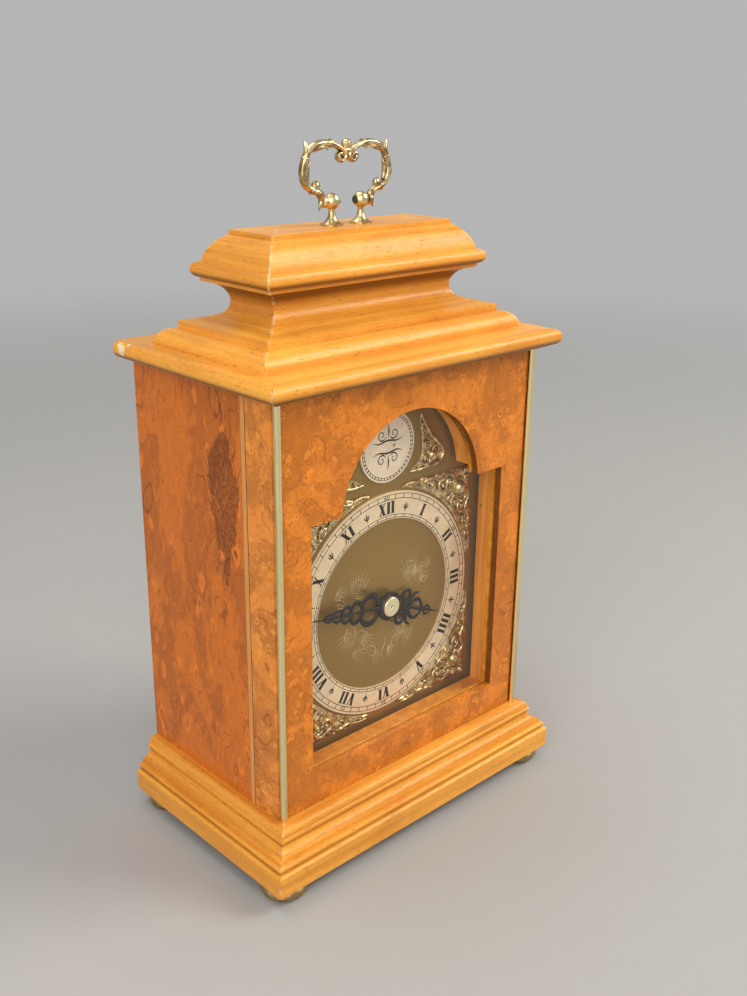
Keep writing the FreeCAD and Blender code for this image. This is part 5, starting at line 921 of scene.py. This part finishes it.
def swirl(centre, radius, start, turns, way=1, width=0.12, inner=0.18, points=9):
    """Control rows of a spiral that winds in from a radius, thinning towards its eye."""
    t = np.linspace(0, 1, max(4, int(points * turns)))
    angle = math.radians(start) + way * 2 * math.pi * turns * t
    reach = radius * (1 - (1 - inner) * t ** 0.85)
    return np.stack([centre[0] + reach * np.cos(angle), centre[1] + reach * np.sin(angle),
                     width * (1 - 0.55 * t), 0 * t + LINE_DEPTH], axis=1)


def engraved(rows, y, sides=6, steps=3):
    """A shallow engraved line with pointed ends."""
    rows = np.array(rows, float)
    rows[0, 2] *= 0.2
    rows[-1, 2] *= 0.2
    return tube(rows, y, sides, steps)


CURLS = [((15.5, 11.5), 4.4, 150, 1.15, -1), ((23.5, 5), 3, 60, 1.2, -1), ((13, -12), 4.2, 35, 1.2, 1),
         ((21, -9), 2.8, 200, 1.2, -1), ((7, -20.5), 3.4, 60, 1.15, 1)]
FEATHERS = [((11.5, 5.5), 112, 40, 15.5, 9, -0.18), ((19.5, 2.5), 96, 20, 12.5, 8, 0.16),
            ((26.5, 8), 150, 92, 8.5, 6, -0.14), ((19.5, -3.5), -38, -118, 13, 9, -0.18),
            ((11, -9), -150, -84, 12.5, 8, 0.16), ((15, -15), -60, -150, 9, 7, 0.14),
            ((5, -19), -120, -70, 9.5, 6, -0.12)]
DISC_LINES = ([(-8.6, 3, 0.1), (-5, 1.9, 0.3), (0, 2.7, 0.4), (5, 1.9, 0.3), (8.6, 3, 0.1)],
              [(0, 3.4, 0.1), (0.5, 6.5, 0.4), (0, 10, 0.08)])
CENTRE_STEM = [(0, -15, 0.1, 0.03), (1.2, -18, 0.12, 0.03), (-1, -23, 0.12, 0.03), (0.4, -29, 0.05, 0.03)]


def feather(root, first, last, length, count, bend, y):
    """Hairlines that leave one place in a fan and bend the same way, longest in the middle."""
    shells = []
    for turn, share in zip(np.radians(np.linspace(first, last, count)), np.linspace(-1, 1, count)):
        reach = length * (1 - 0.38 * share ** 2)
        out = np.array([math.cos(turn), math.sin(turn)])
        side = np.array([-out[1], out[0]]) * bend * reach
        near, mid, tip = (np.array(root) + out * reach * part for part in (0.16, 0.55, 1))
        rows = [(*near, 0.08, 0.02), (*(mid + side), 0.13, 0.03), (*tip, 0.05, 0.02)]
        shells.append(engraved(rows, y, 4, 4))
    return shells


class CLOCK_OT_engraving(ClockStep, Operator):
    """Bright engraved scrolls on the dial centre and a plain border and scroll on the arch disc"""
    bl_idname = "clock.engraving"
    bl_label = "Engraving"

    def build(self, scene):
        """Makes the engraving."""
        tones = scene.clock_brass
        cut = brass("engraved_brass", tones.bright, (0.90, 0.78, 0.50), 0.45, 0.26)
        piece("dial_scrolls", self.centre_scrolls(), cut, "clock_case")
        ink = lacquer("disc_ink", scene.clock_dial.ink, 0.45)
        piece("disc_marks", self.disc_marks(), ink, "clock_case")

    def centre_scrolls(self):
        """Leafy scrolls: curls with fans of long hairlines, mirrored about the upright."""
        y = DIAL_FRONT - SCROLL_RISE
        shells = [engraved(swirl(*curl), y) for curl in CURLS]
        for fan in FEATHERS:
            shells += feather(*fan, y)
        return set_about(paired(shells) + [engraved(CENTRE_STEM, y)], CENTRE)

    def disc_marks(self):
        """A dashed border and one plain flourish above and below the disc's hole."""
        y, rim = DISC_FRONT, DISC_RADIUS - DISC_MARGIN
        low, high = y - LINE_DEPTH, y + INK_SINK
        shells = [washer(DISC_CENTRE, r - DISC_LINE / 2, r + DISC_LINE / 2, low, high, 120)
                  for r in (rim, rim - DISC_BORDER)]
        dashes = ticks(rim - DISC_BORDER, rim, DISC_DASH, QUARTERS, DISC_CENTRE)
        shells.append(prisms(np.concatenate(dashes), low, high))
        lines = []
        for up in (1, -1):
            lines += [swirl((3.4, 5.2 * up), 2.6, 200 * up, 1.3, up, 0.32),
                      swirl((-3.4, 5.2 * up), 2.6, 180 - 200 * up, 1.3, -up, 0.32)]
            lines += [[(x, z * up, wide, LINE_DEPTH) for x, z, wide in rows] for rows in DISC_LINES]
        return shells + set_about([engraved(line, y) for line in lines], DISC_CENTRE)


# ------------------------------------------------------------------ spandrels
CORNER_INNER, CORNER_EDGE, CORNER_TIP = 50.4, 51.6, 9.2
BOSS = (44, 41.5)
BOSS_PROFILE = [(0.2, -3.3), (1.2, -3.2), (2.1, -2.7), (2.8, -1.9), (3.2, -1), (3.3, 0)]
BEADS, BEAD_RING, BEAD_RADIUS, BEAD_RISE = 14, 3.9, 0.5, 0.6
CAST_RISE = 0.75
PLATE_RELIEF = 0.9
CORNER_STEMS = [
    [(41.5, 45.8, 1, 0.9), (37, 49.6, 1, 0.9), (31.5, 47.6, 0.9, 0.9), (26.5, 49.9, 0.8, 0.8),
     (21, 49.3, 0.7, 0.7), (15.5, 50.7, 0.5, 0.6), (10.2, 50.7, 0.2, 0.3)],
    [(40.5, 39.4, 0.9, 0.9), (38.2, 36, 0.8, 0.8), (40.8, 33, 0.5, 0.5)],
]
CORNER_CURLS = [((33.3, 44.9), 3.6, 80, 1.35, 1, 0.75), ((37.8, 45.6), 2.7, 210, 1.3, -1, 0.7),
                ((25.3, 47.6), 2.5, 60, 1.3, 1, 0.6), ((19.4, 48.9), 1.5, 60, 1.2, 1, 0.45),
                ((14.4, 50), 0.95, 60, 1.1, 1, 0.32), ((38.4, 38.9), 2, 160, 1.2, 1, 0.55),
                ((48.6, 48.4), 2.3, 250, 1.3, 1, 0.6), ((29.2, 50.2), 1.2, 330, 1.1, -1, 0.4),
                ((22.8, 50.6), 0.9, 330, 1.1, -1, 0.3)]
LEAF_FAN = 6


def ridge(points, lines, width):
    """Height that falls off from the nearest of a set of sampled lines as a bell curve."""
    flat = points.reshape(-1, 2)
    nearest = np.min([np.min(np.linalg.norm(flat[:, None, :] - line[None, :, :], axis=2), axis=1)
                      for line in lines], axis=0)
    return np.exp(-(nearest / width) ** 2).reshape(points.shape[:2])


def cast_plate(flat, relief):
    """Plate in the dial's plane over a grid of (x, z), proud of the dial by a share of the relief."""
    front = np.stack([flat[..., 0], DIAL_FRONT - relief * PLATE_RELIEF, flat[..., 1]], axis=-1)
    return slab(front, DIAL_FRONT + INK_SINK)


def corner_plate():
    """Cast web of one corner: angle along the ring by share across to the square edge, with a
    scalloped rim and soft ridges under the scrolls."""
    tip = math.degrees(math.asin(CORNER_TIP / CORNER_INNER))
    angle = np.radians(np.linspace(tip, 90 - tip, 120))[:, None]
    share = np.linspace(0, 1, 20)[None, :]
    square = CORNER_EDGE / np.maximum(np.cos(angle), np.sin(angle))
    scallop = 0.9 * np.abs(np.sin(angle * 24)) + 0.35
    reach = CORNER_INNER + (square - scallop - CORNER_INNER).clip(0.25) * share
    flat = np.stack([reach * np.cos(angle), reach * np.sin(angle)], axis=-1)
    lines = [spline(stem, 6)[:, :2] for stem in CORNER_STEMS]
    lines += [line[:, ::-1] for line in lines]
    low = 0.35 + 0.5 * ridge(flat, lines, 1.6) + 0.12 * np.sin(reach * 5) * np.sin(angle * 60)
    low *= np.sin(np.clip(share, 0.02, 0.98) * math.pi) ** 0.35
    return cast_plate(flat, low)


def leaf_fan(centre, start, sweep, length, count, y):
    """Lobes of a leaf that spread from a centre."""
    shells = []
    for k in range(count):
        a = math.radians(start + sweep * k / max(1, count - 1))
        b = a + 0.35
        reach = length * (1 - 0.10 * abs(k - (count - 1) / 2))
        rows = [(centre[0], centre[1], 0.12, 0.3),
                (centre[0] + 0.5 * reach * math.cos(a), centre[1] + 0.5 * reach * math.sin(a), 0.5, 0.55),
                (centre[0] + reach * math.cos(b), centre[1] + reach * math.sin(b), 0.08, 0.15)]
        shells.append(tube(rows, y, 8, 5))
    return shells


def curled(curls, y, eye_y, thick):
    """A thickened spiral for each row of curls, with a bead in its eye."""
    shells = []
    for place, radius, *spiral in curls:
        rows = swirl(place, radius, *spiral, 0.22)
        rows[:, 3] = rows[:, 2] * 0.9 + 0.1
        eye = radius * 0.24
        shells += [tube(rows, y, 8, 3), lump((place[0], eye_y, place[1]), (eye, thick, eye), 10, 7)]
    return shells


def corner_ornament():
    """Scrolls, leaves, shell boss and web of the upper right corner, about the dial's centre."""
    y = DIAL_FRONT - CAST_RISE
    half = [tube(stem, y, 8, 6) for stem in CORNER_STEMS]
    half += curled(CORNER_CURLS, y - 0.15, y - 0.35, 0.55)
    half += leaf_fan((36.5, 42), 150, 110, 3.4, LEAF_FAN, y)
    half += leaf_fan((28.5, 47), 120, 100, 2.6, LEAF_FAN - 1, y)
    half += leaf_fan((45, 46.5), 30, 100, 3.8, LEAF_FAN, y)
    swap = [(points[:, [2, 1, 0]], faces[:, ::-1]) for points, faces in half]
    shells = half + swap + [turned(BOSS_PROFILE, (BOSS[0], DIAL_FRONT, BOSS[1]), "y", 40)]
    around = np.linspace(0, 2 * math.pi, BEADS, endpoint=False)
    bead = [lump((BOSS[0] + BEAD_RING * math.cos(a), DIAL_FRONT - BEAD_RISE,
                  BOSS[1] + BEAD_RING * math.sin(a)), (BEAD_RADIUS,) * 3, 8, 6) for a in around]
    return [corner_plate()] + shells + bead


ARCH_STEM = [(12.4, 152, 0.3, 0.3), (18, 151.6, 0.7, 0.7), (24, 152.2, 0.9, 0.9), (30, 152.6, 0.9, 0.9),
             (32.6, 156.4, 0.8, 0.8), (29.6, 161, 0.8, 0.8), (24.4, 166, 0.7, 0.7), (20.4, 172.2, 0.5, 0.5),
             (18.4, 176, 0.15, 0.2)]
ARCH_CURLS = [((22.6, 155.4), 2.5, 250, 1.3, 1, 0.6), ((27.8, 157.8), 2.8, 20, 1.3, 1, 0.65),
              ((22.6, 161.4), 2.2, 330, 1.3, 1, 0.5), ((20.8, 166.6), 1.5, 330, 1.2, 1, 0.4),
              ((19.8, 170.6), 1, 330, 1.1, 1, 0.3), ((17.2, 153.4), 1.1, 250, 1.1, 1, 0.35)]


def arch_ornament():
    """Scrolled leaf on the right of the arch disc."""
    y = DIAL_FRONT - CAST_RISE
    shells = [tube(ARCH_STEM, y, 8, 6)]
    shells += curled(ARCH_CURLS, y - 0.1, y - 0.3, 0.5)
    shells += leaf_fan((25.4, 155.4), 200, 140, 2.8, LEAF_FAN, y)
    shells += leaf_fan((29.4, 158.8), 330, 120, 2.6, LEAF_FAN - 1, y)
    web = np.linspace(0, 1, 40)[:, None]
    share = np.linspace(0, 1, 10)[None, :]
    inner = spline([(13.6, 152.2), (19.4, 156.4), (20.2, 164), (18.6, 174)], 13)[:40]
    outer = spline([(13.6, 151.8), (31.5, 151.6), (32, 158.5), (19.2, 175)], 13)[:40]
    flat = inner[:, None, :] + (outer - inner)[:, None, :] * share[..., None]
    low = 0.35 + 0.2 * np.sin(web * 60) * np.sin(share * 9)
    boss = lump((26.3, DIAL_FRONT, 156.3), (2.6, 2.7, 2.6))
    return shells + [cast_plate(flat, low), boss]


class CLOCK_OT_spandrels(ClockStep, Operator):
    """Cast scrollwork in the dial's corners and beside the arch disc"""
    bl_idname = "clock.spandrels"
    bl_label = "Spandrels"

    def build(self, scene):
        """Makes both sets of spandrels."""
        tones = scene.clock_brass
        cast = brass("spandrel_brass", tones.aged, tones.bright, 0.26, 0.26, 420)
        corner = corner_ornament()
        every = paired(corner, 2) + paired([mirrored(s) for s in corner], 2)
        placed = set_about(every, CENTRE)
        for index in range(4):
            part = placed[index * len(corner):(index + 1) * len(corner)]
            piece("corner_spandrel_%d" % (index + 1), part, cast, "clock_case",
                  ["corner_spandrels"])
        arch = arch_ornament()
        for side, part in (("right", arch), ("left", [mirrored(s) for s in arch])):
            piece("arch_spandrel_" + side, part, cast, "clock_case", ["arch_spandrels"])


# ------------------------------------------------------------------ hands
HAND_DEPTH = 0.29
HAND_WEIGHT = 1.65
HUB_BEVEL = 0.25
HOUR_HUB, HOUR_BORE = 5.2, 2.72
MINUTE_HUB, MINUTE_BORE = 6.4, 1.62
HOUR_TURN, MINUTE_TURN = 112.5, 278.5
HOUR_SCROLLS = [
    [(0.9, 5.6, 0.5), (3.6, 7, 0.55), (6.4, 8.2, 0.5), (7.5, 10.6, 0.45), (6, 12.4, 0.5), (3.6, 11.8, 0.5),
     (2.6, 9.8, 0.4), (3.9, 8.9, 0.25)],
    [(0.5, 12.2, 0.55), (3.2, 13.2, 0.6), (6.2, 15, 0.5), (7.4, 17.6, 0.25)],
    [(0.6, 14, 0.5), (3.4, 16.2, 0.55), (4.2, 19, 0.5), (2.2, 21.4, 0.45), (0.4, 23, 0.35)],
    [(0.4, 24.2, 0.3), (1.9, 25.4, 0.4), (1.3, 27.2, 0.3), (0.2, 28.2, 0.2)],
]
HOUR_STEM = [(0, 5, 1.1), (0, 9, 0.75), (0, 13, 1), (0, 17, 0.55), (0, 22.5, 0.85), (0, 26, 0.55),
             (0, 29, 0.42), (0, 34.4, 0.14)]
MINUTE_SCROLLS = [
    [(1.1, 6.2, 0.6), (4.6, 7.6, 0.75), (6.2, 10.8, 0.85), (5.2, 14.2, 0.75), (2.6, 16, 0.55),
     (1, 14.4, 0.35)],
    [(0.6, 15.6, 0.5), (3.4, 17, 0.6), (4.6, 19.4, 0.55), (3, 21.4, 0.5), (0.8, 22, 0.4)],
    [(0.5, 21.2, 0.4), (2.9, 22.8, 0.55), (3.3, 25, 0.5), (1.6, 26.8, 0.45), (0.4, 27.2, 0.35)],
    [(0.4, 26.6, 0.3), (2.1, 28, 0.45), (2.2, 30, 0.4), (0.7, 31.8, 0.35)],
    [(0.3, 31.6, 0.3), (1.5, 33, 0.4), (1.2, 35.2, 0.3), (0.2, 36.6, 0.25)],
]
MINUTE_STEM = [(0, 5.6, 1), (0, 10, 0.45), (0, 16.4, 1.05), (0, 20, 0.5), (0, 23.6, 0.95), (0, 28, 0.7),
               (0, 33, 0.65), (0, 38, 0.42), (0, 45.8, 0.12)]


def hand_shells(scrolls, stem, hub, bore, y):
    """A pierced hand that points up: mirrored scrolls, a tapering stem and a ring hub."""
    side = [tube([(x, z, HAND_WEIGHT * w, HAND_DEPTH) for x, z, w in rows], y, 8, 6) for rows in scrolls]
    flat = hub - HUB_BEVEL
    ring = [(r, y + k * HAND_DEPTH) for r, k in
            ((bore, -1), (flat, -1), (hub, -0.5), (hub, 0.5), (flat, 1), (bore, 1), (bore, -1))]
    blade = tube([(*row, HAND_DEPTH) for row in stem], y, 8, 8)
    return paired(side) + [blade, turned(ring, (0, 0, 0), "y", 56)]


class CLOCK_OT_hands(ClockStep, Operator):
    """Pierced black hands"""
    bl_idname = "clock.hands"
    bl_label = "Hands"

    def build(self, scene):
        """Makes both hands."""
        black = lacquer("hand_black", (0.006, 0.006, 0.006), 0.48)
        for node, body, turn, *shape in (
                ("hour_hand", "hour_pipe", HOUR_TURN, HOUR_SCROLLS, HOUR_STEM, HOUR_HUB, HOUR_BORE),
                ("minute_hand", "minute_arbor", MINUTE_TURN, MINUTE_SCROLLS, MINUTE_STEM, MINUTE_HUB,
                 MINUTE_BORE)):
            hand = hand_shells(*shape, middle(node)[1])
            piece(node + "_scrolled", set_about(hand, CENTRE, turn), black, body, [node])


# ------------------------------------------------------------------ handle
ARM = [(12, 0.4, 1.3, 1.3), (12.9, 2.2, 1.6, 1.5), (14.7, 3.6, 1.3, 1.5), (17.3, 4.5, 1.3, 1.5),
       (19.9, 5.9, 1.3, 1.5), (21.5, 8.5, 1.45, 1.6), (21.8, 11.3, 1.5, 1.6), (21.2, 14.2, 1.35, 1.6),
       (20, 17.2, 1.3, 1.6), (17.8, 19.7, 1.3, 1.6), (14.4, 21, 1.25, 1.7), (10.1, 21.3, 1.15, 1.7),
       (6.1, 20.4, 1.1, 1.7), (3, 18.9, 1.05, 1.7), (1.15, 17.2, 0.95, 1.7), (1.5, 15.5, 0.9, 1.7),
       (3.1, 14.8, 0.85, 1.7), (4.5, 15.8, 0.8, 1.7), (4.3, 17.3, 0.7, 1.6), (3, 17.4, 0.6, 1.5),
       (2.7, 16.5, 0.5, 1.3)]
HORN = [(20.4, 16.6, 0.9, 1.1), (19.9, 18.8, 1.15, 1.2), (20.5, 20.8, 0.75, 0.8), (21.1, 22.3, 0.1, 0.1)]
LEAF_TIP = [(12.3, 0.5, 1, 1.1), (13.1, -1.2, 0.95, 0.9), (14, -3.2, 0.15, 0.2)]
BUD = [(15.1, 4, 0.8, 1.1), (15.6, 5.3, 1.6, 1.7), (15.8, 6.5, 1.6, 1.7), (16, 7.5, 0.9, 1),
       (16.1, 8, 0.2, 0.2)]
INNER_LEAF = [(19, 7.2, 0.4, 0.7), (19.9, 9.9, 0.9, 1.2), (19.7, 12.6, 0.8, 1), (18.4, 15.2, 0.1, 0.2)]
TOP_LEAF = [(17.6, 18.2, 0.3, 0.6), (14.8, 19.4, 0.9, 1.2), (11.8, 19.8, 0.7, 1), (9.3, 18.8, 0.1, 0.2)]
BRIDGE = [(-2.2, 18.2, 0.9, 1.2), (0, 18.5, 1.2, 1.4), (2.2, 18.2, 0.9, 1.2)]
KNOP = [(0.3, 22.65), (0.9, 22.55), (1.5, 22.1), (1.85, 21.4), (1.9, 20.7), (1.6, 19.9), (1.1, 19.3),
        (1.3, 19), (0.6, 18.6), (0.1, 18.4)]
COLLARS = [((17.6, 4.6), 22), ((20.6, 15.8), 112), ((8.4, 21.1), 192)]


def collar(place, heading, radius=1.65):
    """A bead round the bail's arm, across its heading."""
    a = math.radians(heading)
    along = np.array([math.cos(a), math.sin(a)]) * 0.55
    rows = [(*(np.array(place) + along * at), share * radius, share * radius)
            for at, share in ((-1, 0.6), (-0.6, 1), (0.6, 1), (1, 0.6))]
    return tube(rows, 0, 16, 5)


class CLOCK_OT_handle(ClockStep, Operator):
    """Cast bail handle with leaves, volutes, horns and a fluted knop"""
    bl_idname = "clock.handle"
    bl_label = "Handle"

    def build(self, scene):
        """Makes the bail."""
        tones = scene.clock_brass
        cast = brass("bail_brass", (0.32, 0.215, 0.105), (0.90, 0.74, 0.43), 0.24, 0.22, 260)
        side = [tube(ARM, 0, 18, 8, 5, 0.05)]
        side += [tube(rows, 0, 12, 6, 3, swell) for rows, swell in
                 ((HORN, 0.08), (LEAF_TIP, 0.1), (BUD, 0.12), (INNER_LEAF, 0.12), (TOP_LEAF, 0.12))]
        side += [collar(place, heading) for place, heading in COLLARS]
        eye = [(0.82, -0.8), (2, -0.8), (2.2, -0.5), (2.2, 0.5), (2, 0.8), (0.82, 0.8), (0.82, -0.8)]
        side.append(turned(eye, (11.8, 0, 0), "x", 40))
        shells = paired(side) + [tube(BRIDGE, 0, 14, 6), turned(KNOP, (0, 0, 0), "z", 48, 8, 0.06)]
        lift = np.array([0, HANDLE_Y, BALL_Z])
        piece("bail_cast", [(points + lift, faces) for points, faces in shells], cast, "handle",
              ["handle_bail"])


# ------------------------------------------------------------------ small fittings
HINGE_LEAVES = (("rear_hinge_case_leaves", "clock_case"), ("rear_hinge_door_leaves", "rear_door_body"))
CASE_SCREW_IN, DOOR_SCREW_IN = 2.6, 2.2
SCREW_RISES = (3, 15)
LEAF_FACE = 0.5
SCREW_RADIUS, SCREW_HEIGHT = 1.15, 0.35
SLOT_WIDTH, SLOT_LENGTH, SLOT_LEVELS = 0.24, 1.8, (0.28, 0.37)


def dome_screw(place, radius, height):
    """A low domed head on a face that looks along y."""
    rows = [(0.02, height), (0.5 * radius, height * 0.9), (0.85 * radius, height * 0.55),
            (radius, height * 0.1), (radius, -0.05), (0.02, -0.05)]
    return turned(rows, place, "y", 20)


class CLOCK_OT_fittings(ClockStep, Operator):
    """Screws of the rear door's hinges, with their slots"""
    bl_idname = "clock.fittings"
    bl_label = "Small fittings"

    def build(self, scene):
        """Makes the small fittings."""
        metal = steel("slot_steel", (0.50, 0.46, 0.38), 0.3)
        dark = lacquer("slot_shadow", (0.02, 0.015, 0.01), 0.6)
        for node, body in HINGE_LEAVES:
            low, high = limits(node)
            outer = low[0] + CASE_SCREW_IN if body == "clock_case" else high[0] - DOOR_SCREW_IN
            seat = low[1] + LEAF_FACE
            heads, slots = [], []
            for rise in SCREW_RISES:
                for z in (low[2] + rise, high[2] - rise):
                    heads.append(dome_screw((outer, seat, z), SCREW_RADIUS, SCREW_HEIGHT))
                    ends = (outer, z - SLOT_WIDTH / 2), (outer, z + SLOT_WIDTH / 2)
                    slot = bar(*ends, SLOT_LENGTH, SLOT_LENGTH)
                    slots.append(prisms([slot], seat + SLOT_LEVELS[0], seat + SLOT_LEVELS[1]))
            piece(node + "_screws", heads, metal, body)
            piece(node + "_slots", slots, dark, body, flat=True)


# ------------------------------------------------------------------ panel and registration
STEPS = (CLOCK_OT_stage, CLOCK_OT_mouldings, CLOCK_OT_case, CLOCK_OT_brasswork, CLOCK_OT_movement,
         CLOCK_OT_markings, CLOCK_OT_engraving, CLOCK_OT_spandrels, CLOCK_OT_hands, CLOCK_OT_handle,
         CLOCK_OT_fittings)
SETTINGS = {"clock_timber": ClockTimber, "clock_dial": ClockDial, "clock_brass": ClockBrass,
            "clock_stage": ClockStage}


class CLOCK_PT_steps(Panel):
    """Lists the clock's settings and steps"""
    bl_idname = "CLOCK_PT_steps"
    bl_label = "Bracket clock"
    bl_space_type = "VIEW_3D"
    bl_region_type = "UI"
    bl_category = "Clock"

    def draw(self, context):
        """Draws every setting and a button for every step."""
        for name in SETTINGS:
            group = getattr(context.scene, name)
            column = self.layout.column(align=True)
            for key in group.__annotations__:
                column.prop(group, key)
        for step in STEPS:
            self.layout.operator(step.bl_idname)


CLASSES = tuple(SETTINGS.values()) + STEPS + (CLOCK_PT_steps,)


def register():
    """Registers the classes and hangs the settings on the scene."""
    for cls in CLASSES:
        bpy.utils.register_class(cls)
    for name, group in SETTINGS.items():
        setattr(bpy.types.Scene, name, PointerProperty(type=group))


def unregister():
    """Takes them away again."""
    for name in SETTINGS:
        delattr(bpy.types.Scene, name)
    for cls in reversed(CLASSES):
        bpy.utils.unregister_class(cls)


def main():
    """Runs every step in order."""
    register()
    for step in STEPS:
        group, _, name = step.bl_idname.partition(".")
        getattr(getattr(bpy.ops, group), name)()


if __name__ == "__main__":
    main()
